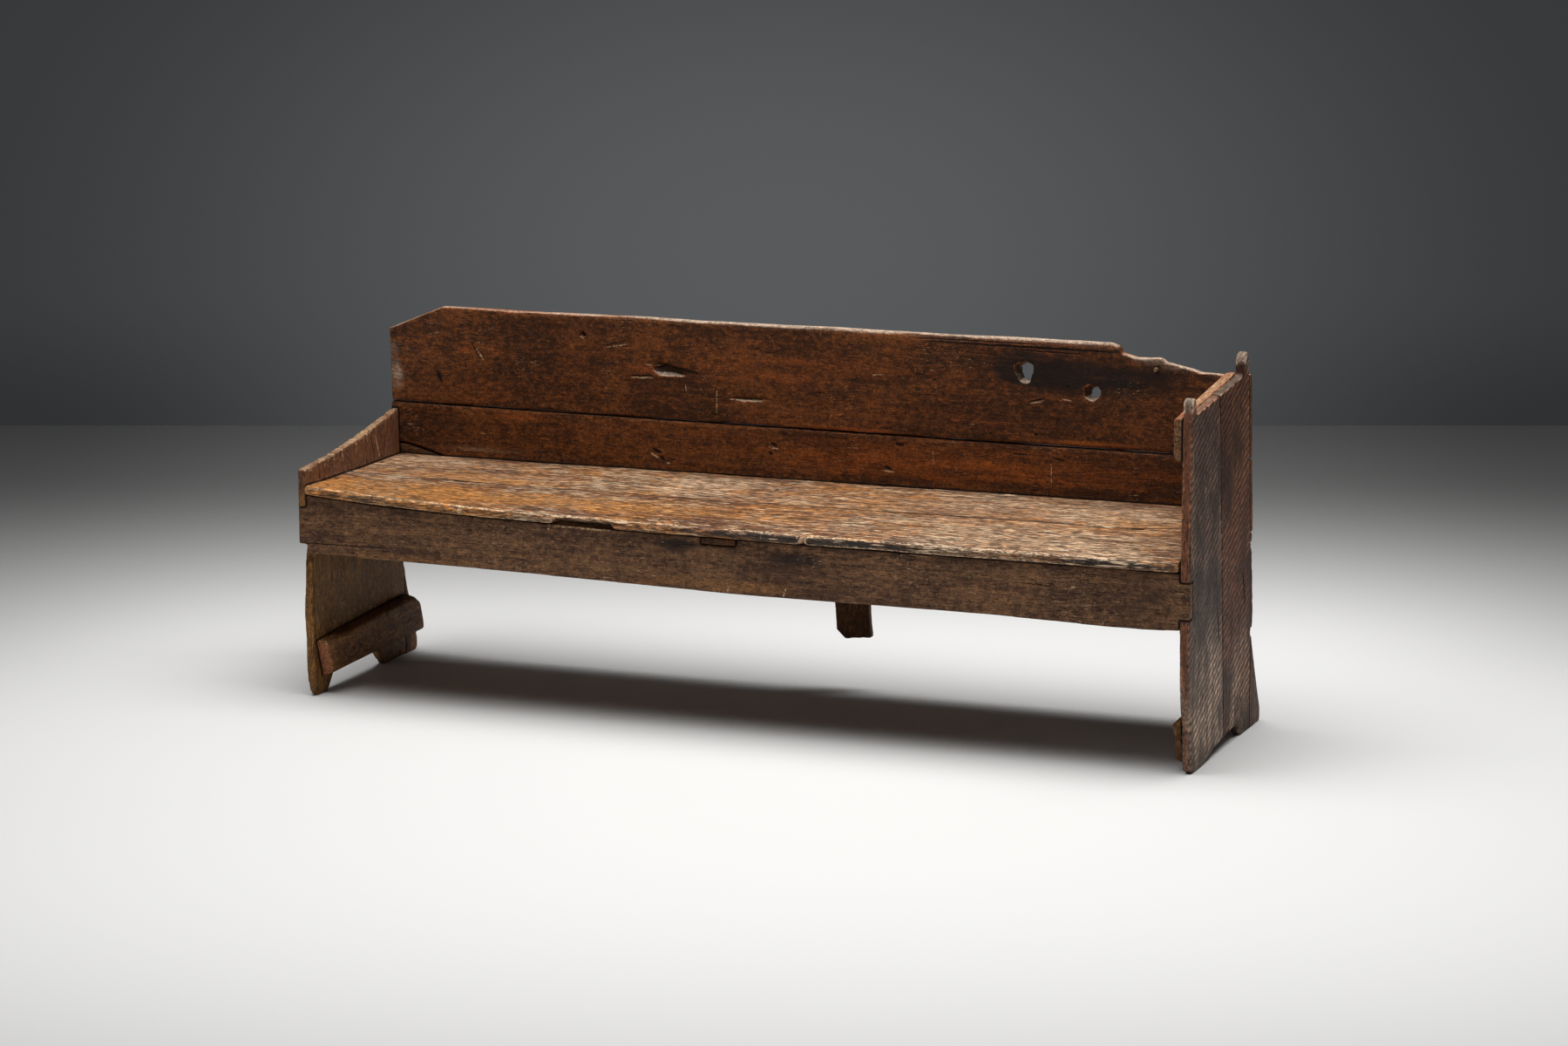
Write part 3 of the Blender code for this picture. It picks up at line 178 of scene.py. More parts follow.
class Graph:
    """Adds nodes to a tree, from left to right."""

    def __init__(self, tree):
        self.tree = tree
        self.count = 0

    def feed(self, socket, value):
        if isinstance(value, bpy.types.NodeSocket):
            self.tree.links.new(value, socket)
        else:
            socket.default_value = value

    def add(self, kind, values=(), prefix="ShaderNode", **settings):
        """A new node. Its values go to sockets by name or number, or else in the sockets' order."""
        node = self.tree.nodes.new(prefix + kind)
        node.location = (190 * (self.count // 4), -190 * (self.count % 4))
        self.count += 1
        for key, setting in settings.items():
            setattr(node, key, setting)
        for key, value in values.items() if isinstance(values, dict) else enumerate(values):
            self.feed(node.inputs[key], value)
        return node

    def math(self, operation, *values, clamp=False):
        return self.add("Math", values, operation=operation, use_clamp=clamp).outputs[0]

    def times(self, first, second):
        return self.math("MULTIPLY", first, second)

    def fused(self, value, factor, offset):
        """The value times the factor plus the offset."""
        return self.math("MULTIPLY_ADD", value, factor, offset)

    def highest(self, first, *others):
        for other in others:
            first = self.math("MAXIMUM", first, other)
        return first

    def vector(self, operation, *values):
        outputs = self.add("VectorMath", values, operation=operation).outputs
        return outputs["Value" if operation in ("DOT_PRODUCT", "LENGTH") else "Vector"]

    def stretched(self, vector, length):
        return self.add(
            "VectorMath", {"Vector": vector, "Scale": length}, operation="SCALE").outputs["Vector"]

    def noise(self, vector, scale=1.0, detail=3.0, roughness=0.55, output="Fac"):
        return self.add("TexNoise", {
            "Vector": vector, "Scale": scale, "Detail": detail, "Roughness": roughness}).outputs[output]

    def grained(self, vector, along, across, detail, roughness):
        """Noise with so many cells per metre along the grain and across it."""
        return self.noise(
            self.vector("MULTIPLY", vector, (along, across, across)), 1.0, detail, roughness)

    def step(self, value, low, high, bottom=0.0, top=1.0):
        return self.add("MapRange", {
            "Value": value, "From Min": low, "From Max": high, "To Min": bottom, "To Max": top},
            interpolation_type="SMOOTHSTEP").outputs["Result"]

    def mix(self, factor, first, second, blend="MIX"):
        """Two colours mixed, by the colour sockets of the node."""
        first, second = ((*value, 1.0) if isinstance(value, tuple) else value for value in (first, second))
        return self.add(
            "Mix", {0: factor, 6: first, 7: second}, data_type="RGBA", blend_type=blend).outputs[2]

    def group(self, name, **values):
        """The outputs of a shader group."""
        return self.add("Group", {key.capitalize(): value for key, value in values.items()},
                        node_tree=bpy.data.node_groups[name]).outputs

    def mask(self, name, **values):
        return self.group(name, **values)[0]


def new_group(name, outputs, **inputs):
    """An empty shader group's graph, inputs and outputs. An input without a number is a vector."""
    tree = bpy.data.node_groups.new(name, "ShaderNodeTree")
    for key, default in inputs.items():
        kind = "NodeSocketVector" if default is None else "NodeSocketFloat"
        socket = tree.interface.new_socket(key.capitalize(), in_out="INPUT", socket_type=kind)
        if default is not None:
            socket.default_value = default
    for label in outputs:
        tree.interface.new_socket(label, in_out="OUTPUT", socket_type="NodeSocketFloat")
    graph = Graph(tree)
    given, out = (graph.add(kind, prefix="Node") for kind in ("GroupInput", "GroupOutput"))
    return graph, given.outputs, out.inputs


def group_grain():
    """Figure, streaks and pores of a plank whose grain runs along X."""
    graph, given, out = new_group(
        "Plank grain", ("Figure", "Bands", "Streaks", "Pores"), position=None, waviness=0.03)
    warp = graph.vector("SUBTRACT", graph.noise(given["Position"], 3.1, 2.0, 0.5, "Color"), (0.5, 0.5, 0.5))
    warp = graph.vector("MULTIPLY", warp, graph.vector("MULTIPLY", (0.0, 1.0, 1.0), given["Waviness"]))
    place = graph.vector("ADD", given["Position"], warp)
    for label, along, across, detail, roughness, low, high in (
            ("Figure", 1.6, 30.0, 5.0, 0.6, 0.28, 0.74),
            ("Bands", 7.0, 120.0, 3.0, 0.65, 0.32, 0.68),
            ("Streaks", 16.0, 300.0, 3.0, 0.65, 0.30, 0.70)):
        graph.feed(out[label], graph.step(graph.grained(place, along, across, detail, roughness), low, high))
    pores = graph.grained(place, 46.0, 640.0, 1.0, 0.5)
    patches = graph.grained(place, 5.0, 40.0, 2.0, 0.5)
    graph.feed(out["Pores"], graph.step(graph.fused(patches, 0.35, pores), 0.76, 0.86))


def group_blotches():
    """Uneven patches with soft or hard borders."""
    graph, given, out = new_group("Blotches", ("Mask",), position=None, scale=6.0, low=0.4, high=0.6)
    value = graph.noise(given["Position"], given["Scale"], 5.0, 0.62)
    graph.feed(out["Mask"], graph.step(value, given["Low"], given["High"]))


def group_dashes():
    """Short dashes along X, gathered in patches."""
    graph, given, out = new_group(
        "Dashes", ("Mask",), position=None, along=20.0, across=300.0, level=0.66, gathering=0.25)
    across = given["Across"]
    stretch = graph.add("CombineXYZ", (given["Along"], across, across)).outputs[0]
    lines = graph.noise(graph.vector("MULTIPLY", given["Position"], stretch), 1.0, 1.0, 0.5)
    patches = graph.math("SUBTRACT", graph.noise(given["Position"], 7.0, 3.0, 0.6), 0.5)
    value = graph.fused(patches, given["Gathering"], lines)
    graph.feed(out["Mask"], graph.step(value, given["Level"], graph.math("ADD", given["Level"], 0.05)))


def group_edge_wear():
    """Where an arris is rubbed to paler wood, with a ragged border."""
    graph, given, out = new_group("Arris wear", ("Mask",), edge=0.0, position=None, amount=1.0)
    uneven = graph.math("SUBTRACT", graph.grained(given["Position"], 22.0, 90.0, 4.0, 0.65), 0.5)
    graph.feed(out["Mask"], graph.step(graph.fused(given["Edge"], given["Amount"], uneven), 0.42, 0.72))


def group_crack():
    """A mark from one point to another in one plane, thick in the middle and running out at both ends."""
    graph, given, out = new_group(
        "Crack", ("Mask",), position=None, start=None, end=None, plane=None, width=0.002)
    reach = graph.vector("SUBTRACT", given["Position"], given["Start"])
    reach = graph.vector("MULTIPLY", reach, given["Plane"])
    run = graph.vector("SUBTRACT", given["End"], given["Start"])
    share = graph.math(
        "DIVIDE", graph.vector("DOT_PRODUCT", reach, run), graph.vector("DOT_PRODUCT", run, run), clamp=True)
    distance = graph.vector("LENGTH", graph.vector("SUBTRACT", reach, graph.stretched(run, share)))
    taper = graph.times(graph.times(share, graph.math("SUBTRACT", 1.0, share)), 4.0)
    half = graph.times(given["Width"], graph.math("POWER", taper, 0.4))
    graph.feed(out["Mask"], graph.step(distance, half, graph.times(half, 0.4)))


def group_mottle():
    """Uneven tone, at the scale of a fingertip and at the scale of the grain."""
    graph, given, out = new_group("Mottle", ("Tone", "Level"), position=None, amount=0.5, shortness=1.0)
    shorten = graph.add("CombineXYZ", (given["Shortness"], 1.0, 1.0)).outputs[0]
    place = graph.vector("MULTIPLY", given["Position"], shorten)
    broad = graph.grained(place, 45.0, 140.0, 4.0, 0.75)
    fine = graph.grained(place, 110.0, 420.0, 2.0, 0.6)
    darker = graph.math("SUBTRACT", 1.0, given["Amount"])
    lighter = graph.math("ADD", 1.0, given["Amount"])
    broad_tone = graph.step(broad, 0.28, 0.72, darker, lighter)
    fine_tone = graph.step(fine, 0.30, 0.70, darker, lighter)
    graph.feed(out["Tone"], graph.times(broad_tone, fine_tone))
    graph.feed(out["Level"], graph.step(broad, 0.34, 0.68))


def group_specks():
    """Small round specks, such as worm holes or drops, in scattered patches."""
    graph, given, out = new_group("Specks", ("Mask",), position=None, scale=60.0, size=0.15, spread=0.6)
    cells = graph.add("TexVoronoi", {"Vector": given["Position"], "Scale": given["Scale"]})
    dots = graph.step(cells.outputs["Distance"], given["Size"], graph.times(given["Size"], 0.6))
    patches = graph.noise(given["Position"], 7.0, 3.0, 0.6)
    patches = graph.step(patches, given["Spread"], graph.math("ADD", given["Spread"], 0.04))
    graph.feed(out["Mask"], graph.times(dots, patches))


def group_saw_marks():
    """Slanting marks of a pit saw, as a height."""
    graph, given, out = new_group("Saw marks", ("Height",), position=None, slant=0.6, pitch=150.0)
    turned = graph.add(
        "VectorRotate", {"Vector": given["Position"], "Angle": given["Slant"]},
        rotation_type="X_AXIS").outputs["Vector"]
    wave = graph.add("TexWave", {
        "Vector": turned, "Scale": given["Pitch"], "Distortion": 3.0, "Detail": 3.0, "Detail Scale": 1.5},
        bands_direction="Z")
    patches = graph.step(graph.noise(given["Position"], 8.0, 3.0, 0.6), 0.30, 0.55)
    graph.feed(out["Height"], graph.times(wave.outputs["Fac"], patches))


def make_groups():
    for make in (group_mottle, group_grain, group_blotches, group_dashes, group_edge_wear, group_crack,
                 group_specks, group_saw_marks):
        make()


# Materials


def on_bench(measures):
    """A point in the scene from its measures on the bench."""
    return tuple(measure + corner for measure, corner in zip(measures, BENCH_CORNER))


def on_plane(plane, measures):
    """The same for two measures in one plane. The third one doesn't count there."""
    point = [0.0, 0.0, 0.0]
    for axis, value in zip(PLANES[plane], measures):
        point[axis] = value
    return on_bench(point)


def attribute(graph, name):
    return graph.add("Attribute", attribute_name=name).outputs["Fac"]


# Levels are noise heights: the higher a level, the fewer marks.
PLAIN_LOOK = {
    "gloss": 0.46, "specular": 0.20, "arris": 0.45, "flecks": 0.74, "chips": 0.76, "dashes": 0.66,
    "scratches": 0.82, "holes": 0.70, "saw": 0.0, "waviness": 0.03, "mottle": 0.40, "banding": 0.8,
    "shortness": 1.3, "fleck_depth": 0.55, "fleck_run": 40.0, "pale": "edge", "bare": "seat_worn_and_highlight",
}
SAW_PITCH = 21.0
SCRATCH_TURN = (0.25, 1.35, 0.2)

# How far drawn marks stray from their line, and how deep the bumps are
WOBBLE = 6.0 * MM
BUMP = 1.1 * MM


def new_material(name):
    """A material, its graph and its shader."""
    material = bpy.data.materials.new(name)
    material.use_nodes = True
    return material, Graph(material.node_tree), material.node_tree.nodes["Principled BSDF"]


def raised(graph, shader, height, strength, depth):
    """Gives the shader bumps from a height."""
    lift = graph.add("Bump", {"Strength": strength, "Distance": depth, "Height": height})
    graph.feed(shader.inputs["Normal"], lift.outputs["Normal"])


def shaded(graph, colour, amount):
    """The colour times a grey amount."""
    grey = graph.add("CombineColor", (amount, amount, amount)).outputs[0]
    return graph.mix(1.0, colour, grey, "MULTIPLY")


def ragged(graph, value, uneven, weight):
    """A mask with a ragged border, that stays empty where the value is 0."""
    return graph.step(graph.times(value, graph.fused(uneven, weight, 1.0)), 0.15, 0.85)


def drawn_marks(graph, shaken, plane, marks):
    """One mask for all marks."""
    counted = tuple(float(axis in PLANES[plane]) for axis in range(3))
    return graph.highest(0.0, *(
        graph.mask("Crack", position=shaken, start=on_plane(plane, start), end=on_plane(plane, end),
                   plane=counted, width=width)
        for start, end, width in marks))


def oak(name, colours, drift, grain="along", plane="front", marks=None, **changes):
    """Old oak. The colours are its dark and its light side and the glow where it is rubbed most.

    The drift takes its figure from another place of the noise. Marks are the cracks and chips of one board.
    """
    look = {**PLAIN_LOOK, **changes}
    marks = marks or {}
    tones = bpy.context.scene.bench_colours
    dark, light, glow, pale, bare_and_highlight_colour, torn_wood, soot, gap = (
        tuple(getattr(tones, key)) for key in (*colours, look["pale"], look["bare"], "torn", "soot", "gap"))
    material, graph, shader = new_material(name)
    place = graph.add("TexCoord").outputs["Object"]
    plank = graph.add("Mapping", {
        "Vector": place, "Rotation": GRAINS[grain][0],
        "Location": (drift, 1.7 * drift, -0.9 * drift)}).outputs["Vector"]
    shake = graph.vector("SUBTRACT", graph.noise(place, 60.0, 4.0, 0.65, "Color"), (0.5, 0.5, 0.5))
    shaken = graph.vector("ADD", place, graph.stretched(shake, WOBBLE))

    # the wood and its polish
    fibres = graph.group("Plank grain", position=plank, waviness=look["waviness"])
    mottle = graph.group("Mottle", position=plank, amount=look["mottle"], shortness=look["shortness"])
    speckle = graph.step(graph.grained(plank, 70.0, 110.0, 5.0, 0.75), 0.34, 0.66)
    patches = graph.mask("Blotches", position=plank, scale=5.0, low=0.36, high=0.66)
    uneven = graph.fused(graph.grained(plank, 7.0, 50.0, 4.0, 0.65), 1.6, -0.8)
    banding = look["banding"]
    figure = graph.fused(patches, 0.25, graph.times(fibres["Figure"], 0.40 * banding))
    figure = graph.fused(fibres["Bands"], 0.35 * banding, figure)
    figure = graph.fused(speckle, 0.75 * (1.0 - banding), figure)
    colour = graph.mix(graph.step(figure, 0.22, 0.82), dark, light)
    # The glow and bare masks carry rubbed and bare wood, and painted highlights on upward faces, lobes, knot
    # lips and the apron's top.
    glowing = ragged(graph, attribute(graph, "glow"), uneven, 1.6)
    colour = graph.mix(glowing, colour, glow)
    colour = graph.mix(ragged(graph, attribute(graph, "torn"), uneven, 0.8), colour, torn_wood)
    bare = ragged(graph, attribute(graph, "bare"), uneven, 2.2)
    colour = graph.mix(bare, colour, bare_and_highlight_colour)
    streaked = look["mottle"] * banding
    streaks = graph.step(fibres["Streaks"], 0.0, 1.0, 1.0 - 0.6 * streaked, 1.0 + 0.4 * streaked)
    colour = shaded(graph, colour, graph.times(mottle["Tone"], streaks))
    # Saw marks lighten and darken the colour: partly their own tone, partly a painted highlight on their
    # ridges.
    if look["saw"]:
        facing = graph.add("NewGeometry").outputs["True Normal"]
        facing = graph.math("ABSOLUTE", graph.add("SeparateXYZ", (facing,)).outputs["X"])
        sawn = graph.mask("Saw marks", position=place, slant=look["saw"], pitch=SAW_PITCH)
        sawn = graph.times(sawn, facing)
        colour = shaded(graph, colour, graph.fused(sawn, 1.7, 0.5))
    # Real stains, and the painted shade deep in the knot holes, in the soot colour.
    stain = ragged(graph, attribute(graph, "stain"), uneven, 1.6)
    colour = graph.mix(graph.times(stain, 0.88), colour, soot)

    # pale marks: rubbed arrises, flecks along the grain, small chips, scratches across the grain
    def dashes(position, along, across, key, gathering):
        return graph.mask("Dashes", position=position, along=along, across=across, level=look[key],
                          gathering=gathering)

    worn = graph.mask("Arris wear", edge=attribute(graph, "edge"), position=plank, amount=look["arris"])
    flecks = dashes(plank, look["fleck_run"], 260.0, "flecks", 0.5)
    chips = dashes(plank, 210.0, 460.0, "chips", 0.5)
    slanting = graph.add(
        "VectorRotate", {"Vector": plank, "Rotation": SCRATCH_TURN},
        rotation_type="EULER_XYZ").outputs["Vector"]
    scratches = dashes(slanting, 36.0, 480.0, "scratches", 0.7)
    plain = graph.fused(glowing, -0.7 * look["fleck_depth"], look["fleck_depth"])
    pale_marks = graph.highest(graph.times(worn, 0.75), graph.times(flecks, plain), graph.times(chips, 0.7),
                               graph.times(scratches, 0.5))
    if "chips" in marks:
        broken = graph.step(graph.grained(plank, 150.0, 330.0, 2.0, 0.6), 0.42, 0.56)
        drawn = graph.times(drawn_marks(graph, shaken, plane, marks["chips"]), broken)
        pale_marks = graph.highest(pale_marks, drawn)
    colour = graph.mix(pale_marks, colour, pale)

    # dark marks: pores, worm holes, short splits, cracks, and the dirt and painted shade where two boards
    # meet
    splits = dashes(plank, 42.0, 330.0, "dashes", 0.3)
    holes = graph.mask("Specks", position=plank, scale=62.0, size=0.12, spread=look["holes"])
    dark_marks = graph.highest(graph.times(fibres["Pores"], 0.5), holes, graph.times(splits, 0.75))
    if "cracks" in marks:
        dark_marks = graph.highest(dark_marks, drawn_marks(graph, shaken, plane, marks["cracks"]))
    dirt_and_shade = graph.step(graph.fused(uneven, 0.4, attribute(graph, "joint")), 0.30, 0.85)
    darkness = graph.times(graph.highest(dark_marks, dirt_and_shade), 0.92)
    graph.feed(shader.inputs["Base Color"], graph.mix(darkness, colour, gap))

    rough = graph.fused(mottle["Level"], 0.18, look["gloss"] - 0.06)
    rough = graph.fused(bare, 0.20, rough)
    rough = graph.fused(fibres["Streaks"], 0.10, rough)
    graph.feed(shader.inputs["Roughness"], graph.math("MULTIPLY_ADD", darkness, 0.45, rough, clamp=True))
    shader.inputs["Specular IOR Level"].default_value = look["specular"]

    height = graph.fused(fibres["Streaks"], 0.30, graph.times(fibres["Figure"], 0.25))
    height = graph.fused(mottle["Level"], 0.45, height)
    height = graph.math("SUBTRACT", height, dark_marks)
    height = graph.fused(flecks, -0.3, height)
    if look["saw"]:
        height = graph.fused(sawn, 0.6, height)
    raised(graph, shader, height, 0.9, BUMP)
    return material


def iron(name):
    """Rusty wrought iron."""
    tones = bpy.context.scene.bench_colours
    material, graph, shader = new_material(name)
    place = graph.add("TexCoord").outputs["Object"]
    patches = graph.mask("Blotches", position=place, scale=300.0, low=0.40, high=0.62)
    graph.feed(shader.inputs["Base Color"], graph.mix(patches, tuple(tones.iron), tuple(tones.rust)))
    graph.feed(shader.inputs["Roughness"], graph.fused(patches, 0.35, 0.5))
    shader.inputs["Metallic"].default_value = 0.5
    raised(graph, shader, patches, 1.0, 0.4 * MM)
    return material


# Worn planks


def cell_noise(points, seed):
    """Smooth noise from -1 to 1 at points that are measured in cells."""
    cell = np.floor(points).astype(np.int64)
    part = points - cell
    part = part * part * (3.0 - 2.0 * part)
    total = np.zeros(len(points))
    for corner in range(8):
        step = np.array([corner & 1, (corner >> 1) & 1, (corner >> 2) & 1])
        key = ((cell + step) * np.array([73856093, 19349663, 83492791])).sum(1) + seed * 2654435
        key = (key ^ (key >> 13)) * 1274126177
        key = (key ^ (key >> 16)) & 0xFFFF
        weight = np.where(step == 1, part, 1.0 - part).prod(1)
        total += weight * (key / 32767.5 - 1.0)
    return total


def plank_noise(points, axis, along, across, seed):
    """The same with so many cells per metre along the grain and across it."""
    cells = np.full(3, across)
    cells[axis] = along
    return cell_noise(points * cells, seed)


def neighbour_mean(points, edges, rounds):
    """Each point moved to the middle of its neighbours, so many times over."""
    count = len(points)
    ends = np.concatenate([edges, edges[:, ::-1]])
    share = 1.0 / np.maximum(np.bincount(ends[:, 0], minlength=count), 1)
    result = points.copy()
    for _ in range(rounds):
        result = np.stack([
            np.bincount(ends[:, 0], weights=result[ends[:, 1], axis], minlength=count) * share
            for axis in range(3)
        ], axis=1)
    return result


def off_centre(measures, plane, centre, reach):
    """How far points are from a place's centre, in parts of its reach."""
    first, second = PLANES[plane]
    return np.hypot((measures[:, first] - centre[0]) / reach[0],
                    (measures[:, second] - centre[1]) / reach[1])


def spot(measures, plane, centre, reach):
    """1 at a spot's centre and 0 past its reach."""
    near = np.clip(1.0 - off_centre(measures, plane, centre, reach), 0.0, 1.0)
    return near * near * (3.0 - 2.0 * near)


NAILS = "nail_"

# Pieces let into a board, round which less dirt and less painted shade gather
LET_IN = ("apron_peg", "back_peg_stub", "seat_bearer")
LET_IN_DIRT_AND_SHADE = 0.45

# Front face of the back boards: its depth at one height and its lean, at both ends of the bench
BACK_HEIGHT = 0.200
BACK_DEPTHS = (0.465, 0.448)
BACK_LEANS = (0.057, 0.090)
BENCH_LENGTH = 1.900

# How far an arris stands out, in facets, where it gets most of its wear
SHARP = 0.42

# Cells per metre along and across the grain: of the wear on the arrises, its fine part and the hollows
ARRIS_CELLS = (9.0, 42.0)
FINE_CELLS = (27.9, 130.2)
HOLLOW_CELLS = (5.0, 15.0)

# Cells per metre of the frayed ends and of the knots' torn walls
FRAYED_CELLS = 160.0
WALL_CELLS = 110.0

# Depths behind the back's face near which a knot's torn wall and the painted shade of its black core begin
WALL_DEPTH = 1.5 * MM
CORE_DEPTH = 3.0 * MM


def back_depth(x, z):
    """Depth of the back's front face, on the bench."""
    left, right = (depth - lean * (z - BACK_HEIGHT) for depth, lean in zip(BACK_DEPTHS, BACK_LEANS))
    return left + (right - left) * x / BENCH_LENGTH


def closeness(node, points, reach):
    """1 where another board touches this one, fading to 0 at the reach."""
    near = np.zeros(len(points))
    for other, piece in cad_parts.items():
        if other == node or other.startswith(NAILS):
            continue
        most = LET_IN_DIRT_AND_SHADE if other in LET_IN else 1.0
        low, high = (np.array(corner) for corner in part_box(other))
        candidates = np.flatnonzero(((points > low - reach) & (points < high + reach)).all(1))
        if not len(candidates):
            continue
        mesh = piece.data
        tree = BVHTree.FromPolygons(
            [vertex.co for vertex in mesh.vertices], [face.vertices for face in mesh.polygons])
        for index in candidates:
            distance = tree.find_nearest(points[index], reach)[3]
            if distance is not None:
                near[index] = max(near[index], most * (1.0 - distance / reach))
    return near


def mesh_array(collection, key, width, kind=np.float32):
    values = np.empty(len(collection) * width, kind)
    collection.foreach_get(key, values)
    return values.reshape(-1, width)


def faceted(node, size):
    """A copy of one plank in small even facets."""
    name = node + "_worn"
    bm = bmesh.new()
    bm.from_mesh(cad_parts[node].data)
    bmesh.ops.remove_doubles(bm, verts=bm.verts, dist=1e-5)
    plain = bpy.data.meshes.new(name)
    bm.to_mesh(plain)
    bm.free()
    piece = bpy.data.objects.new(name, plain)
    bpy.context.scene.collection.objects.link(piece)
    remesh = piece.modifiers.new("facets", "REMESH")
    remesh.mode = "VOXEL"
    remesh.voxel_size = size
    evaluated = piece.evaluated_get(bpy.context.evaluated_depsgraph_get())
    mesh = bpy.data.meshes.new_from_object(evaluated)
    piece.modifiers.clear()
    piece.data = mesh
    bpy.data.meshes.remove(plain)
    mesh.name = name
    if not len(mesh.vertices):
        raise RuntimeError(f"{node} came out empty")
    return piece


def weathered(node, material, seed, facet="fine", grain="along", plane="front", rounding=0.8, chipping=1.0,
              base=None, crest=(), front=("glow", 0.0)):
    """A worn copy of one plank, which stands for the plain one.

    Base is what the whole board gets, the top wear and highlight argument what its upward faces get as wear
    and painted highlight, and front what its front edges get.
    """
    wear = bpy.context.scene.bench_wear
    size = getattr(wear, facet)
    drawn = MARKS.get(node, {})
    axis = GRAINS[grain][1]
    piece = faceted(node, size)
    mesh = piece.data
    points = mesh_array(mesh.vertices, "co", 3).astype(float)
    normals = mesh_array(mesh.vertex_normals, "vector", 3).astype(float)
    edges = mesh_array(mesh.edges, "vertices", 2, np.int32)
    measures = points - np.array(BENCH_CORNER)
    soft = neighbour_mean(points, edges, 3)
    bulge = ((points - soft) * normals).sum(1) / size
    edge = np.clip(bulge / SHARP - 0.15, 0.0, 1.0)
    # Dirt and painted shade where another board comes close, taken back on clean spots.
    joint = closeness(node, points, wear.dirt_and_shade)
    for *place, amount in drawn.get("clean", ()):
        joint *= 1.0 - amount * spot(measures, plane, *place)
    free = 1.0 - joint

    uneven = plank_noise(points, axis, *ARRIS_CELLS, seed)
    fine = plank_noise(points, axis, *FINE_CELLS, seed + 5)
    worn = np.clip(rounding * (0.55 + 0.6 * uneven), 0.0, 1.0)
    moved = points + (soft - points) * (worn * np.clip(edge * 1.5, 0.0, 1.0) * free)[:, None]
    hollow = plank_noise(points, axis, *HOLLOW_CELLS, seed + 11)
    depth = wear.ripple * (0.5 + 0.5 * hollow + 0.25 * (0.5 + 0.5 * fine)) * free
    depth += chipping * wear.chip * edge * free * np.clip((uneven + 0.5 * fine - 0.35) * 2.0, 0.0, 1.0)
    for *place, amount in drawn.get("dug", ()):
        rough = 0.75 + 0.45 * cell_noise(points * FRAYED_CELLS, seed + 17)
        depth += amount * rough * spot(measures, plane, *place)
    sunk = measures[:, 1] - back_depth(measures[:, 0], measures[:, 2])
    facing = np.clip(0.8 * normals[:, 0] - 0.8 * normals[:, 2], 0.0, 1.0)
    walls = []
    for *place, paleness, growth in drawn.get("knots", ()):
        wall = np.clip(sunk / WALL_DEPTH - 0.8, 0.0, 1.0) * (off_centre(measures, plane, *place) < 1.0)
        depth -= growth * wall * facing * (0.9 + 0.4 * cell_noise(points * WALL_CELLS, seed + 19))
        walls.append((wall, paleness))
    moved -= normals * depth[:, None]
    mesh.vertices.foreach_set("co", moved.astype(np.float32).ravel())
    mesh.update()

    masks = {"edge": edge * free, "joint": joint, "torn": np.zeros(len(points))}
    for key in ("glow", "stain", "bare"):
        masks[key] = np.full(len(points), (base or {}).get(key, 0.0))
        for *place, amount in drawn.get(key, ()):
            masks[key] += amount * spot(measures, plane, *place)
    # Upward faces get wear and a painted highlight.
    upward = np.clip((normals[:, 2] - 0.25) / 0.5, 0.0, 1.0)
    for key, amount in crest:
        masks[key] += amount * upward * free
    masks[front[0]] += front[1] * np.clip((-normals[:, 1] - 0.4) / 0.4, 0.0, 1.0)
    # A knot's walls: the upward lips get a painted highlight in the bare colour, the rest deep in the hole
    # painted shade in the stain colour.
    lip = np.clip(normals[:, 2] * 2.5 - 0.4, 0.0, 1.0)
    for wall, paleness in walls:
        masks["torn"] += wall
        masks["stain"] *= 1.0 - wall
        masks["stain"] += 4.0 * wall * (1.0 - lip) * np.clip(sunk / CORE_DEPTH - 0.8, 0.0, 1.0)
        masks["bare"] += wall * np.maximum(paleness, lip)
    for key, values in masks.items():
        layer = mesh.attributes.new(key, "FLOAT", "POINT")
        layer.data.foreach_set("value", values.astype(np.float32))
    mesh.shade_smooth()
    mesh.materials.clear()
    mesh.materials.append(material)
    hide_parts(node)
    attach(piece, "root")


def plank(node, name, colours, drift, seed, look, grain="along", plane="front", **wear):
    """One worn plank in oak of its own."""
    material = oak(name, colours, drift, grain, plane, MARKS.get(node), **look)
    weathered(node, material, seed, grain=grain, plane=plane, **wear)


def finish_nodes(prefixes, material):
    """The plain solids that stay as they are get a better surface."""
    for name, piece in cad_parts.items():
        if name.startswith(prefixes):
            piece.data.materials.clear()
            piece.data.materials.append(material)
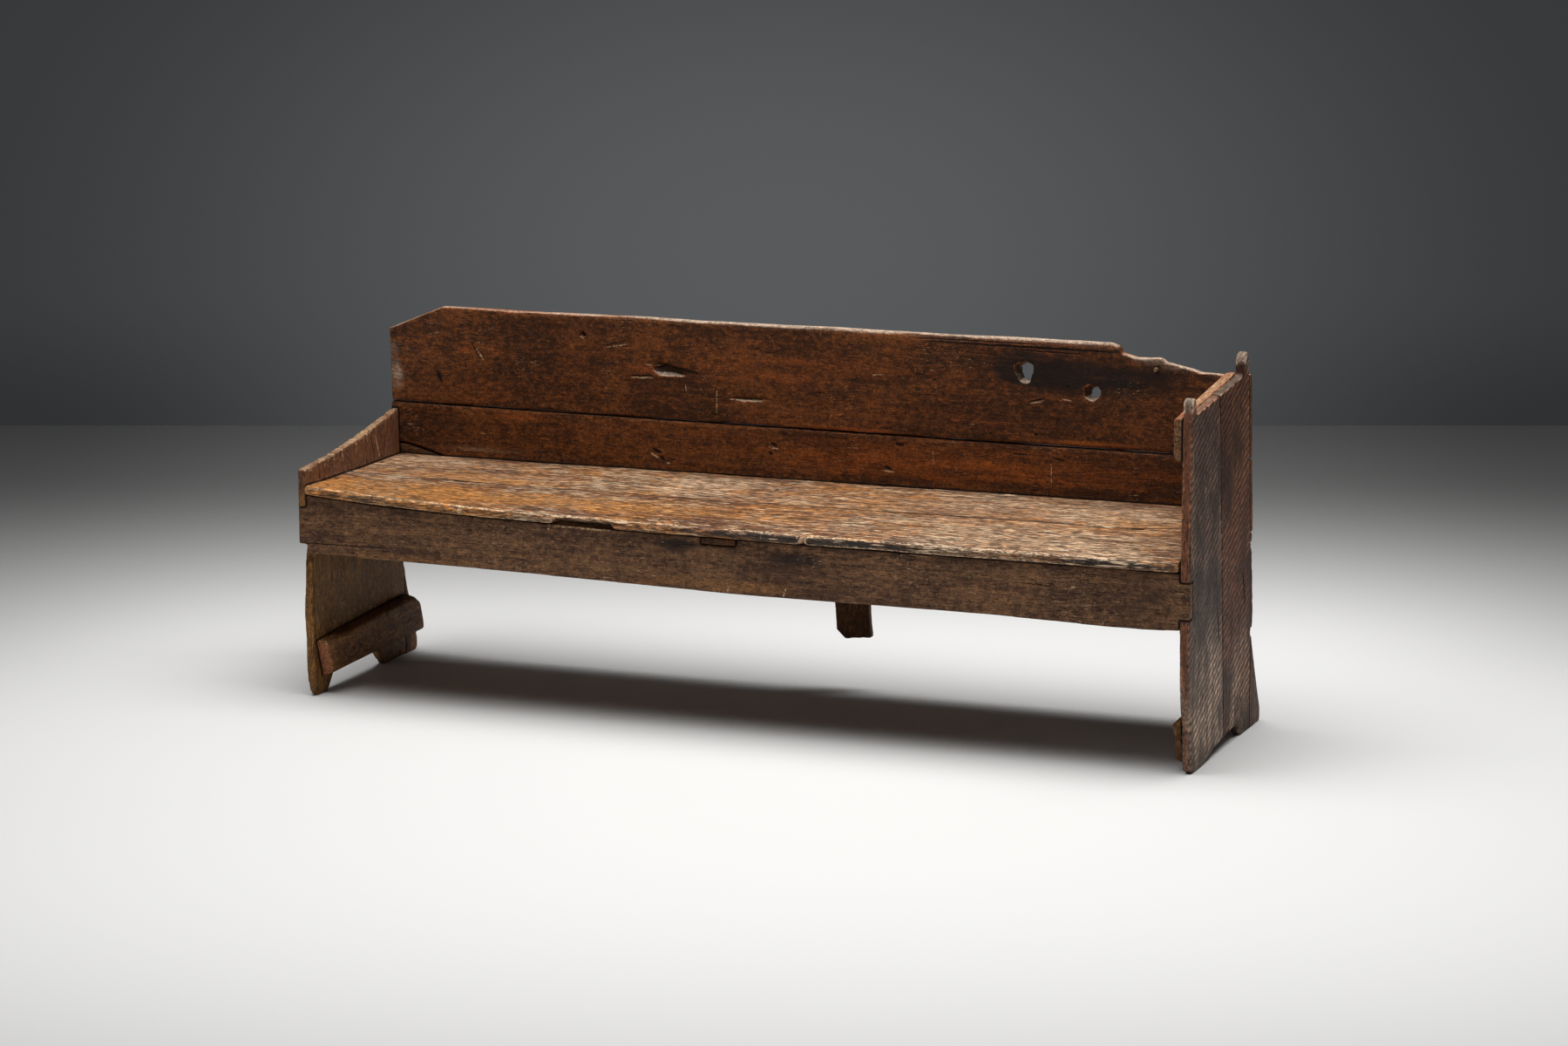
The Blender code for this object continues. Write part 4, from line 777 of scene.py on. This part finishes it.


# The marks of the boards, set after the photo: measures on the bench in the board's plane.
# A crack or chip is its start, its end and its half width. A spot of glow, stain, bare or clean wood, or
# of a dug place, is its centre, its reach and its amount, or its depth; a clean spot takes away the dirt and
# painted shade where boards meet, and some bare spots and chips are painted highlights, marked where they
# stand.
# A knot is where a hole's torn walls show: its centre, its reach, its paleness and how far its walls stand
# into the hole.
# The seam is the dark line where the upper and the middle back board meet.
SEAM = ((-0.05, 0.5555), (1.95, 0.5555), 0.0030)
MARKS = {
    "left_end_board": {
        "cracks": (((0.060, 0.500), (0.066, 0.440), 0.0018), ((0.120, 0.520), (0.126, 0.450), 0.0012),
            ((0.300, 0.530), (0.325, 0.455), 0.0016), ((0.030, 0.250), (0.034, 0.060), 0.0012)),
        "chips": (((0.090, 0.510), (0.092, 0.470), 0.0030), ((0.170, 0.520), (0.176, 0.470), 0.0030),
            ((0.240, 0.540), (0.238, 0.480), 0.0040), ((0.330, 0.500), (0.350, 0.450), 0.0040),
            ((0.060, 0.455), (0.072, 0.440), 0.0050), ((0.210, 0.530), (0.224, 0.500), 0.0050),
            ((0.255, 0.545), (0.262, 0.512), 0.0055), ((0.285, 0.520), (0.297, 0.490), 0.0045),
            ((0.130, 0.500), (0.136, 0.480), 0.0040), ((0.020, 0.478), (0.034, 0.478), 0.0030)),
        "glow": (((0.25, 0.52), (0.50, 0.16), 1.6),),
        "stain": (((0.14, 0.49), (0.16, 0.05), 0.35), ((0.30, 0.46), (0.10, 0.04), 0.25)),
        "bare": (((0.26, 0.515), (0.20, 0.03), 0.45), ((0.40, 0.46), (0.06, 0.04), 0.3)),
    },
    "right_end_front_board": {
        "cracks": (((0.196, 0.300), (0.216, 0.225), 0.0055), ((0.120, 0.060), (0.128, 0.200), 0.0022),
            ((0.248, 0.110), (0.258, 0.060), 0.0040), ((0.060, 0.360), (0.066, 0.250), 0.0020)),
        "chips": (((0.205, 0.510), (0.208, 0.430), 0.0030), ((0.100, 0.580), (0.104, 0.520), 0.0020),
            ((0.012, 0.640), (0.014, 0.560), 0.0024), ((0.010, 0.480), (0.016, 0.420), 0.0024)),
        # The bare spot at the top of the front lobe is a painted highlight.
        "bare": (((0.14, 0.10), (0.32, 0.36), 0.60), ((0.03, 0.42), (0.05, 0.16), 0.25),
            ((0.000, 0.738), (0.024, 0.036), 2.0)),
        "stain": (((0.15, 0.60), (0.22, 0.25), 0.30), ((0.000, 0.060), (0.012, 0.040), 0.9)),
        "glow": (((0.010, 0.735), (0.030, 0.040), 1.2), ((0.16, 0.68), (0.10, 0.20), 0.3)),
        "clean": (((0.22, 0.40), (0.07, 0.60), 0.8), ((0.20, 0.720), (0.25, 0.03), 0.6)),
        "dug": (((0.010, 0.055), (0.026, 0.050), 0.009), ((0.020, 0.100), (0.016, 0.030), 0.006)),
    },
    "right_end_rear_board": {
        "cracks": (((0.378, 0.336), (0.402, 0.262), 0.0060), ((0.300, 0.300), (0.305, 0.200), 0.0024),
            ((0.330, 0.560), (0.334, 0.480), 0.0020)),
        # The second bare spot, at the top of the rear lobe, is a painted highlight.
        "bare": (((0.35, 0.08), (0.22, 0.32), 0.45), ((0.368, 0.778), (0.024, 0.036), 2.0)),
        "stain": (((0.30, 0.62), (0.20, 0.20), 0.25), ((0.24, 0.50), (0.04, 0.30), 0.35)),
        "glow": (((0.385, 0.770), (0.050, 0.050), 1.2),),
        "clean": (((0.23, 0.40), (0.07, 0.60), 0.8), ((0.30, 0.728), (0.20, 0.03), 0.6)),
    },
    "right_arm_cleat": {
        "clean": (((0.20, 0.720), (0.25, 0.04), 0.7),),
    },
    "right_batten": {
        "dug": (((0.030, 0.060), (0.030, 0.040), 0.008),),
    },
    "apron": {
        "cracks": (((0.002, 0.3300), (0.215, 0.3325), 0.0018), ((1.560, 0.3620), (1.620, 0.3600), 0.0014),
            ((1.660, 0.3480), (1.730, 0.3500), 0.0012), ((1.180, 0.3700), (1.240, 0.3690), 0.0012)),
        # The chip along the top arris from 0.572 to 0.706, with the bare and clean spots near 0.6 above it,
        # is a painted highlight where the apron's top catches the light.
        "chips": (((1.066, 0.296), (1.072, 0.314), 0.0022), ((0.560, 0.392), (0.563, 0.408), 0.0022),
            ((0.572, 0.4050), (0.706, 0.4030), 0.0026), ((1.330, 0.3990), (1.350, 0.3990), 0.0020)),
        "glow": (((0.20, 0.310), (0.30, 0.025), 0.5), ((0.90, 0.310), (0.40, 0.03), 0.6),
            ((0.15, 0.345), (0.14, 0.03), 0.3)),
        "stain": (((0.838, 0.386), (0.09, 0.028), 0.7), ((0.958, 0.380), (0.08, 0.022), 0.55),
            ((1.085, 0.372), (0.11, 0.034), 0.75), ((1.433, 0.384), (0.20, 0.030), 0.5),
            ((0.340, 0.385), (0.22, 0.020), 0.3)),
        "bare": (((0.600, 0.412), (0.12, 0.010), 0.9), ((0.193, 0.303), (0.12, 0.008), 0.7)),
        "clean": (((0.620, 0.410), (0.10, 0.020), 1.0),),
    },
    "seat_front_board": {
        "cracks": (((1.628, 0.191), (1.811, 0.222), 0.0042), ((1.050, 0.096), (1.380, 0.090), 0.0016),
            ((0.260, 0.132), (0.420, 0.128), 0.0016), ((0.700, 0.060), (0.900, 0.066), 0.0014),
            ((1.560, 0.120), (1.740, 0.128), 0.0014), ((0.096, 0.020), (0.102, 0.020), 0.0040)),
        "chips": (((1.300, 0.170), (1.420, 0.176), 0.0030), ((0.960, 0.160), (1.080, 0.166), 0.0026),
            ((0.362, -0.006), (0.376, -0.004), 0.0030), ((1.640, 0.050), (1.720, 0.052), 0.0026),
            ((0.930, -0.0030), (1.290, -0.0020), 0.0040), ((1.270, -0.0020), (1.860, -0.0030), 0.0048),
            ((0.040, -0.0040), (0.560, -0.0020), 0.0024), ((0.540, -0.0020), (0.860, -0.0030), 0.0030)),
        "glow": (((0.15, 0.06), (0.40, 0.18), 1.1), ((0.60, 0.10), (0.50, 0.10), 0.9),
            ((0.30, -0.009), (0.50, 0.012), 1.0), ((0.539, 0.133), (0.20, 0.012), 0.6),
            ((1.218, 0.195), (0.22, 0.010), 0.8)),
        "bare": (((1.50, 0.10), (0.70, 0.20), 0.50), ((1.709, 0.021), (0.16, 0.04), 0.5),
            ((0.573, 0.000), (0.16, 0.010), 0.7)),
        "stain": (((1.20, -0.013), (0.36, 0.012), 1.6), ((1.68, -0.013), (0.26, 0.010), 0.7),
            ((0.338, 0.130), (0.12, 0.015), 0.4), ((0.90, 0.060), (0.25, 0.014), 0.35),
            ((1.218, 0.093), (0.20, 0.010), 0.45), ((1.50, 0.150), (0.26, 0.012), 0.4),
            ((1.35, 0.030), (0.30, 0.012), 0.35), ((0.55, 0.180), (0.25, 0.012), 0.4)),
    },
    "seat_rear_board": {
        "cracks": (((0.500, 0.300), (0.720, 0.296), 0.0018), ((1.100, 0.260), (1.300, 0.266), 0.0014),
            ((1.628, 0.191), (1.811, 0.222), 0.0042)),
        "chips": (((1.330, 0.370), (1.430, 0.355), 0.0030), ((0.300, 0.350), (0.380, 0.360), 0.0026)),
        "glow": (((0.30, 0.24), (0.40, 0.08), 0.8), ((1.10, 0.25), (0.30, 0.04), 0.5)),
        "bare": (((0.086, 0.398), (0.20, 0.09), 0.5), ((0.780, 0.354), (0.25, 0.08), 0.6),
            ((1.50, 0.33), (0.55, 0.16), 0.35)),
        "stain": (((0.608, 0.298), (0.16, 0.025), 0.6), ((1.02, 0.30), (0.12, 0.02), 0.4),
            ((1.45, 0.27), (0.25, 0.015), 0.3)),
    },
    "back_upper_board": {
        "cracks": (((1.220, 0.7565), (1.632, 0.7570), 0.0036), ((0.563, 0.6445), (0.612, 0.6470), 0.0030),
            ((1.180, 0.7620), (1.480, 0.7640), 0.0026), ((1.400, 0.7500), (1.560, 0.7490), 0.0022),
            ((0.670, 0.6600), (0.705, 0.6560), 0.0018), ((0.500, 0.7040), (0.558, 0.7190), 0.0020),
            ((0.196, 0.6940), (0.214, 0.6600), 0.0022), ((1.436, 0.6440), (1.474, 0.6540), 0.0028),
            ((1.350, 0.5725), (1.357, 0.5740), 0.0040), ((1.447, 0.5770), (1.455, 0.5780), 0.0034),
            ((1.518, 0.6810), (1.524, 0.6810), 0.0040), ((0.980, 0.6350), (0.986, 0.6350), 0.0026),
            ((0.618, 0.6640), (0.650, 0.6740), 0.0050), ((0.636, 0.6720), (0.716, 0.6580), 0.0046),
            ((0.451, 0.7300), (0.461, 0.7230), 0.0070), ((0.112, 0.6300), (0.124, 0.6020), 0.0046), SEAM),
        "chips": (((0.560, 0.6410), (0.612, 0.6420), 0.0024), ((1.440, 0.6415), (1.470, 0.6480), 0.0026),
            ((0.206, 0.6800), (0.224, 0.6560), 0.0026), ((0.684, 0.6310), (0.686, 0.6170), 0.0016),
            ((0.754, 0.6250), (0.753, 0.5750), 0.0014), ((0.500, 0.6990), (0.560, 0.7120), 0.0018),
            ((0.590, 0.6700), (0.640, 0.6690), 0.0014), ((0.780, 0.6075), (0.870, 0.6090), 0.0020),
            ((1.505, 0.6560), (1.530, 0.6500), 0.0018), ((1.100, 0.6780), (1.128, 0.6820), 0.0016)),
        "glow": (((0.65, 0.68), (0.50, 0.10), 0.20), ((0.186, 0.675), (0.05, 0.03), 0.6),
            ((0.251, 0.679), (0.05, 0.03), 0.6), ((0.112, 0.656), (0.04, 0.03), 0.4),
            ((0.60, 0.660), (0.10, 0.03), 0.4), ((1.00, 0.68), (0.45, 0.09), 0.35),
            ((1.288, 0.691), (0.06, 0.03), 0.4), ((1.098, 0.621), (0.06, 0.02), 0.5),
            ((1.05, 0.561), (0.22, 0.010), 0.8), ((1.55, 0.565), (0.26, 0.010), 0.8),
            ((1.468, 0.740), (0.04, 0.02), 1.6), ((1.30, 0.60), (0.30, 0.03), 0.3)),
        "stain": (((1.438, 0.710), (0.14, 0.070), 1.1), ((1.59, 0.700), (0.22, 0.070), 0.9),
            ((1.731, 0.711), (0.10, 0.040), 0.4), ((0.754, 0.748), (0.12, 0.02), 0.4),
            ((0.118, 0.615), (0.014, 0.025), 0.7), ((0.639, 0.573), (0.05, 0.02), 0.4)),
        # The two long bare spots along the top ridge are partly bare grey wood and partly a painted
        # highlight on the ridge.
        "bare": (((1.40, 0.776), (0.45, 0.010), 1.2), ((0.80, 0.772), (0.60, 0.010), 0.9),
            ((0.023, 0.605), (0.03, 0.05), 0.3), ((0.010, 0.660), (0.040, 0.16), 0.30),
            ((1.76, 0.745), (0.16, 0.030), 0.7)),
        "knots": (((1.428, 0.705), (0.044, 0.036), 0.0, 0.004),
            ((1.568, 0.672), (0.042, 0.030), 0.0, 0.009), ((0.6466, 0.660), (0.062, 0.028), 0.3, 0.0),
            ((0.825, 0.6105), (0.080, 0.010), 0.3, 0.0)),
    },
    "back_middle_board": {
        "cracks": (((0.606, 0.4910), (0.624, 0.4830), 0.0055), ((0.622, 0.4760), (0.634, 0.4680), 0.0050),
            ((0.872, 0.5210), (0.886, 0.5150), 0.0055), ((1.148, 0.5380), (1.166, 0.5350), 0.0050),
            ((1.122, 0.4870), (1.138, 0.4840), 0.0045), ((1.400, 0.5350), (1.432, 0.5330), 0.0026),
            ((1.486, 0.5290), (1.512, 0.5270), 0.0026), ((0.866, 0.5020), (0.876, 0.4960), 0.0045), SEAM),
        "chips": (((1.482, 0.520), (1.483, 0.470), 0.0014), ((1.229, 0.530), (1.229, 0.500), 0.0014),
            ((0.600, 0.4840), (0.622, 0.4700), 0.0034), ((0.636, 0.4640), (0.646, 0.4600), 0.0026),
            ((0.868, 0.5120), (0.890, 0.5080), 0.0028), ((1.120, 0.4790), (1.144, 0.4780), 0.0026)),
        "glow": (((0.31, 0.54), (0.14, 0.02), 0.6), ((1.30, 0.50), (0.9, 0.08), 0.6)),
        "bare": (((0.20, 0.462), (0.20, 0.012), 0.5),),
    },
}


# The pieces of the bench


class BENCH_OT_left_end(bpy.types.Operator):
    """Left end: the low arm, its foot and the strip behind it"""

    bl_idname = "bench.left_end"
    bl_label = "Left end"

    def execute(self, context):
        plank("left_end_board", "left_end_oak", ("left_dark", "left_light", "rear_light"), 2.3, 3,
              {"gloss": 0.5, "scratches": 0.76, "flecks": 0.72, "chips": 0.74, "banding": 0.5},
              "upright", "side", rounding=0.9, chipping=1.6, crest=(("bare", 0.6), ("glow", 0.6)),
              front=("glow", 0.3))
        plank("left_rear_wedge", "left_wedge_oak", ("foot_dark", "foot_light", "foot_light"), 5.1, 5,
              {"gloss": 0.55}, "upright", "side")
        return {"FINISHED"}


class BENCH_OT_right_end(bpy.types.Operator):
    """Right end: two boards, the lobes, the cleat along the top and the strip behind"""

    bl_idname = "bench.right_end"
    bl_label = "Right end"

    def execute(self, context):
        sawn = {"bare": "weathered", "banding": 0.5, "shortness": 1.6}
        crest = (("bare", 0.4), ("glow", 0.9))
        plank("right_end_front_board", "right_front_oak", ("right_dark", "right_light", "edge_red"), 7.9, 7,
              {**sawn, "gloss": 0.46, "specular": 0.3, "saw": -0.47, "flecks": 0.77}, "upright", "side",
              facet="finest", rounding=0.6, chipping=1.4, crest=crest, front=("glow", 0.8))
        plank("right_end_rear_board", "right_rear_oak", ("rear_dark", "rear_light", "right_light"), 9.4, 9,
              {**sawn, "gloss": 0.5, "saw": -0.42}, "upright", "side",
              facet="finest", rounding=0.6, crest=crest)
        plank("right_arm_cleat", "arm_cleat_oak", ("rear_dark", "foot_light", "edge_red"), 3.3, 10,
              {"chips": 0.70, "flecks": 0.68, "banding": 0.4}, "deep", "side", rounding=1.0, chipping=1.6,
              base={"glow": 0.1}, crest=(("glow", 0.9), ("bare", 0.5)), front=("bare", 0.3))
        plank("right_rear_wedge", "right_wedge_oak", ("rear_dark", "right_light", "foot_light"), 4.4, 12,
              {"gloss": 0.55}, "upright", "side")
        return {"FINISHED"}


class BENCH_OT_battens(bpy.types.Operator):
    """Battens nailed across the feet"""

    bl_idname = "bench.battens"
    bl_label = "Foot battens"

    def execute(self, context):
        tones = ("foot_dark", "foot_light", "edge_red")
        look = {"gloss": 0.55, "banding": 0.5, "arris": 0.6}
        plank("left_batten", "left_batten_oak", tones, 6.2, 14, look, "deep", "side",
              rounding=1.0, chipping=1.2, front=("glow", 0.7))
        plank("right_batten", "right_batten_oak", tones, 8.8, 15, look, "deep", "side",
              rounding=1.0, chipping=2.0, front=("stain", 0.4))
        return {"FINISHED"}


class BENCH_OT_apron(bpy.types.Operator):
    """Front rail under the seat"""

    bl_idname = "bench.apron"
    bl_label = "Apron"

    def execute(self, context):
        look = {"gloss": 0.52, "holes": 0.63, "dashes": 0.64, "waviness": 0.02, "mottle": 0.36,
                "banding": 0.55, "shortness": 1.8}
        plank("apron", "apron_oak_worn", ("apron_dark", "apron_light", "foot_light"), 1.1, 17, look,
              chipping=1.2)
        return {"FINISHED"}


class BENCH_OT_seat(bpy.types.Operator):
    """Two seat boards, polished at the front and bare behind"""

    bl_idname = "bench.seat"
    bl_label = "Seat"

    def execute(self, context):
        tones = ("seat_dark", "seat_honey", "seat_honey")
        look = {"holes": 0.72, "flecks": 0.60, "chips": 0.70, "dashes": 0.55, "waviness": 0.05,
                "mottle": 0.70, "shortness": 0.7, "fleck_run": 22.0, "specular": 0.35, "scratches": 0.76,
                "fleck_depth": 0.9, "pale": "seat_chip"}
        plank("seat_front_board", "seat_front_oak", tones, 0.6, 19, {**look, "gloss": 0.36, "arris": 0.6},
              plane="top", facet="broad", rounding=1.0, base={"bare": 0.16}, front=("stain", 0.25))
        plank("seat_rear_board", "seat_rear_oak", tones, 3.9, 21, {**look, "gloss": 0.44},
              plane="top", facet="broad", chipping=0.8, base={"bare": 0.30})
        return {"FINISHED"}


class BENCH_OT_back(bpy.types.Operator):
    """The boards of the back, with knot holes and a broken corner"""

    bl_idname = "bench.back"
    bl_label = "Back"

    def execute(self, context):
        tones = ("back_dark", "back_light", "back_glow")
        plank("back_upper_board", "back_upper_oak", tones, 1.9, 23,
              {"gloss": 0.42, "waviness": 0.06, "bare": "weathered", "flecks": 0.79, "banding": 0.45,
               "shortness": 2.5}, chipping=1.3, crest=(("glow", 0.9), ("bare", 0.50)))
        plank("back_middle_board", "back_middle_oak", tones, 4.7, 25,
              {"gloss": 0.44, "flecks": 0.76, "waviness": 0.05, "banding": 0.5, "shortness": 2.5},
              facet="broad", crest=(("glow", 0.5),))
        lower = oak("back_lower_oak", ("back_dark", "foot_dark", "back_light"), 6.3)
        weathered("back_filler_board", lower, 27, "hidden")
        weathered("back_lower_board", lower, 29, "hidden")
        return {"FINISHED"}


class BENCH_OT_supports(bpy.types.Operator):
    """Unfinished wood: back battens, seat cleats, ledger, bearer and pegs"""

    bl_idname = "bench.supports"
    bl_label = "Supports"

    def execute(self, context):
        tones = ("raw_dark", "raw_light", "foot_light")
        shaded_tones = ("right_dark", "foot_dark", "foot_light")
        plank("back_batten_left", "raw_upright_oak", tones, 2.8, 31, {"gloss": 0.6, "holes": 0.6},
              "upright", facet="hidden")
        plank("back_batten_middle", "broken_batten_oak", shaded_tones, 2.8, 33, {"gloss": 0.6}, "upright",
              facet="finest", rounding=0.9, chipping=2.0)
        plank("rear_ledger", "raw_long_oak", tones, 7.2, 35, {"gloss": 0.6}, facet="hidden")
        deep = oak("raw_deep_oak", tones, 5.5, "deep", gloss=0.6)
        weathered("seat_cleat_left", deep, 37, "hidden", "deep", "side")
        weathered("seat_cleat_right", deep, 39, "hidden", "deep", "side")
        plank("seat_bearer", "bearer_oak", shaded_tones, 6.7, 41, {"gloss": 0.6, "arris": 0.0}, "deep",
              "side")
        finish_nodes(("apron_peg", "back_peg_stub"), deep)
        return {"FINISHED"}


class BENCH_OT_nails(bpy.types.Operator):
    """Rusty forged nails"""

    bl_idname = "bench.nails"
    bl_label = "Nails"

    def execute(self, context):
        finish_nodes((NAILS,), iron("rusty_iron"))
        return {"FINISHED"}


# The studio

CAMERA_PLACE = (4.4153, -8.7396, 2.2732)
CAMERA_YAW = math.radians(20.957)
CAMERA_TURN = (math.radians(90.0 - 11.0508), 0.0, CAMERA_YAW)
AHEAD = (-math.sin(CAMERA_YAW), math.cos(CAMERA_YAW), 0.0)
ASIDE = (math.cos(CAMERA_YAW), math.sin(CAMERA_YAW), 0.0)
SENSOR_WIDTH = 36.0

# Distance of the wall from the camera, half of its width and height, and the height of the bright middle of
# its painted light
WALL_DISTANCE = 13.03
WALL_HALF = (14.0, 4.0)
WALL_MIDDLE = 0.48
FLOOR_HALF = 16.0

# Painted shade of the floor, standing in for the light falling off: near the camera, round the bench and at
# the wall, and where it changes along the view
FLOOR_SHADES = (1.00, 0.85, 0.29)
NEAR_RUN = (-2.4, -0.6)
FAR_RUN = (0.6, 2.7)

# Painted pool of light: behind the bench the floor is brighter in the middle than at the sides
POOL_RUN = (1.05, 2.05)
POOL_SHADES = (1.17, 0.77)

SOFTBOX_PLACE = (0.33, -0.41, 3.4)
SOFTBOX_SIZE = (4.6, 2.5)
SOFTBOX_COLOUR = (1.0, 0.99, 0.97)
SOFTBOX_SPREAD = 2.4
AIR_COLOUR = (0.9, 0.95, 1.0, 1.0)


def plane_piece(name, centre, half_width, half_height, turn, material):
    """A flat stage piece whose mesh holds its place."""
    bm = bmesh.new()
    bmesh.ops.create_grid(bm, x_segments=1, y_segments=1, size=1.0)
    bmesh.ops.scale(bm, vec=(half_width, half_height, 1.0), verts=bm.verts)
    for angle, axis in turn:
        bmesh.ops.rotate(bm, cent=(0.0, 0.0, 0.0), matrix=Matrix.Rotation(angle, 3, axis), verts=bm.verts)
    bmesh.ops.translate(bm, vec=centre, verts=bm.verts)
    mesh = bpy.data.meshes.new(name)
    bm.to_mesh(mesh)
    bm.free()
    piece = bpy.data.objects.new(name, mesh)
    bpy.context.scene.collection.objects.link(piece)
    mesh.materials.append(material)


def set_up(name, data, place, turn):
    """A lamp or camera in its place."""
    holder = bpy.data.objects.new(name, data)
    holder.location = place
    holder.rotation_euler = turn
    bpy.context.scene.collection.objects.link(holder)
    return holder


def painted(graph, colour, shade):
    """The colour times a shade that changes from place to place."""
    return graph.add(
        "CombineColor", [graph.times(shade, float(value)) for value in colour]).outputs[0]


def studio_floor(colour):
    floor, graph, shader = new_material("studio_floor")
    place = graph.add("TexCoord").outputs["Object"]
    depth = graph.vector("DOT_PRODUCT", place, AHEAD)
    close, middle, distant = FLOOR_SHADES
    near = graph.step(depth, *NEAR_RUN, close, middle)
    far = graph.step(depth, *FAR_RUN, 1.0, distant / middle)
    sideways = graph.math("ABSOLUTE", graph.vector("DOT_PRODUCT", place, ASIDE))
    pool = graph.step(sideways, *POOL_RUN, *POOL_SHADES)
    behind = graph.step(depth, -0.2, 1.0)
    pool = graph.fused(behind, graph.math("SUBTRACT", pool, 1.0), 1.0)
    # The floor's colour carries painted light: brighter near the camera than round the bench, dark towards
    # the wall, and a pool behind the bench.
    shade = graph.times(graph.times(near, far), pool)
    graph.feed(shader.inputs["Base Color"], painted(graph, colour, shade))
    shader.inputs["Roughness"].default_value = 0.75
    shader.inputs["Specular IOR Level"].default_value = 0.2
    plane_piece("studio_floor", (0.0, 0.0, 0.0), FLOOR_HALF, FLOOR_HALF, (), floor)


def studio_wall(colour):
    """A glowing wall that only the camera and mirrors see, and only from its front."""
    wall, graph, shader = new_material("studio_wall")
    place = graph.add("TexCoord").outputs["Object"]
    base = Vector(on_bench(CAMERA_PLACE)) + Vector(AHEAD) * WALL_DISTANCE
    # The wall glows instead of being lit, in a painted pool of light: brightest at its middle, fading
    # outwards, darker at the lower corners.
    away = graph.vector("SUBTRACT", place, (base.x, base.y, WALL_MIDDLE))
    spread = graph.vector("LENGTH", graph.vector("MULTIPLY", away, (1.0, 1.0, 1.6)))
    glow = graph.step(spread, 0.1, 2.4, 1.0, 0.40)
    height = graph.vector("DOT_PRODUCT", place, (0.0, 0.0, 1.0))
    sideways = graph.vector("LENGTH", graph.vector("MULTIPLY", away, (1.0, 1.0, 0.0)))
    corner = graph.times(graph.step(height, 0.40, 0.0), graph.step(sideways, 0.9, 2.0))
    glow = graph.times(glow, graph.fused(corner, -0.28, 1.0))
    paint = graph.add("Emission", {"Color": painted(graph, colour, glow)})
    clear = graph.add("BsdfTransparent")
    ray = graph.add("LightPath").outputs
    shown = graph.highest(ray["Is Camera Ray"], ray["Is Glossy Ray"], ray["Is Transmission Ray"])
    front = graph.math("SUBTRACT", 1.0, graph.add("NewGeometry").outputs["Backfacing"])
    blend = graph.add(
        "MixShader", (graph.times(shown, front), clear.outputs[0], paint.outputs[0]))
    nodes = wall.node_tree.nodes
    graph.feed(nodes["Material Output"].inputs["Surface"], blend.outputs[0])
    nodes.remove(shader)
    turn = ((math.pi / 2, "X"), (CAMERA_YAW, "Z"))
    plane_piece("studio_wall", (base.x, base.y, WALL_HALF[1]), *WALL_HALF, turn, wall)


class BENCH_OT_stage(bpy.types.Operator):
    """Pale floor, grey backdrop, a soft lamp and the camera"""

    bl_idname = "bench.stage"
    bl_label = "Studio"

    def execute(self, context):
        scene = context.scene
        studio = scene.bench_studio
        studio_floor(scene.bench_colours.floor)
        studio_wall(scene.bench_colours.wall)

        lamp = bpy.data.lights.new("softbox_overhead", "AREA")
        lamp.shape = "RECTANGLE"
        lamp.size, lamp.size_y = SOFTBOX_SIZE
        lamp.energy = studio.softbox
        lamp.color = SOFTBOX_COLOUR
        lamp.spread = SOFTBOX_SPREAD
        set_up("softbox_overhead", lamp, SOFTBOX_PLACE, (0.0, 0.0, CAMERA_YAW))

        world = bpy.data.worlds.new("studio_air")
        world.use_nodes = True
        air = world.node_tree.nodes["Background"].inputs
        air["Color"].default_value = AIR_COLOUR
        air["Strength"].default_value = studio.fill
        scene.world = world

        camera = bpy.data.cameras.new("camera")
        camera.lens = studio.lens
        camera.sensor_width = SENSOR_WIDTH
        camera.sensor_fit = "HORIZONTAL"
        scene.camera = set_up("camera", camera, on_bench(CAMERA_PLACE), CAMERA_TURN)
        scene.view_settings.view_transform = "Standard"
        return {"FINISHED"}


class BENCH_PT_panel(bpy.types.Panel):
    """The bench's pieces and settings"""

    bl_idname = "BENCH_PT_panel"
    bl_label = "Old Plank Bench"
    bl_space_type = "VIEW_3D"
    bl_region_type = "UI"
    bl_category = "Bench"

    def draw(self, context):
        layout = self.layout
        for name, kind in SETTINGS:
            box = layout.box()
            for key in kind.__annotations__:
                box.prop(getattr(context.scene, name), key)
        for operator in PIECES:
            layout.operator(operator.bl_idname)


PIECES = (
    BENCH_OT_left_end, BENCH_OT_right_end, BENCH_OT_battens, BENCH_OT_apron, BENCH_OT_seat,
    BENCH_OT_back, BENCH_OT_supports, BENCH_OT_nails, BENCH_OT_stage,
)
SETTINGS = (("bench_wear", BenchWear), ("bench_colours", BenchColours), ("bench_studio", BenchStudio))


def register():
    for name, group in SETTINGS:
        bpy.utils.register_class(group)
        setattr(bpy.types.Scene, name, PointerProperty(type=group))
    for item in (*PIECES, BENCH_PT_panel):
        bpy.utils.register_class(item)


def unregister():
    for item in (BENCH_PT_panel, *reversed(PIECES)):
        bpy.utils.unregister_class(item)
    for name, group in reversed(SETTINGS):
        delattr(bpy.types.Scene, name)
        bpy.utils.unregister_class(group)


def main():
    register()
    make_groups()
    bpy.ops.bench.left_end()
    bpy.ops.bench.right_end()
    bpy.ops.bench.battens()
    bpy.ops.bench.apron()
    bpy.ops.bench.seat()
    bpy.ops.bench.back()
    bpy.ops.bench.supports()
    bpy.ops.bench.nails()
    bpy.ops.bench.stage()


if __name__ == "__main__":
    main()
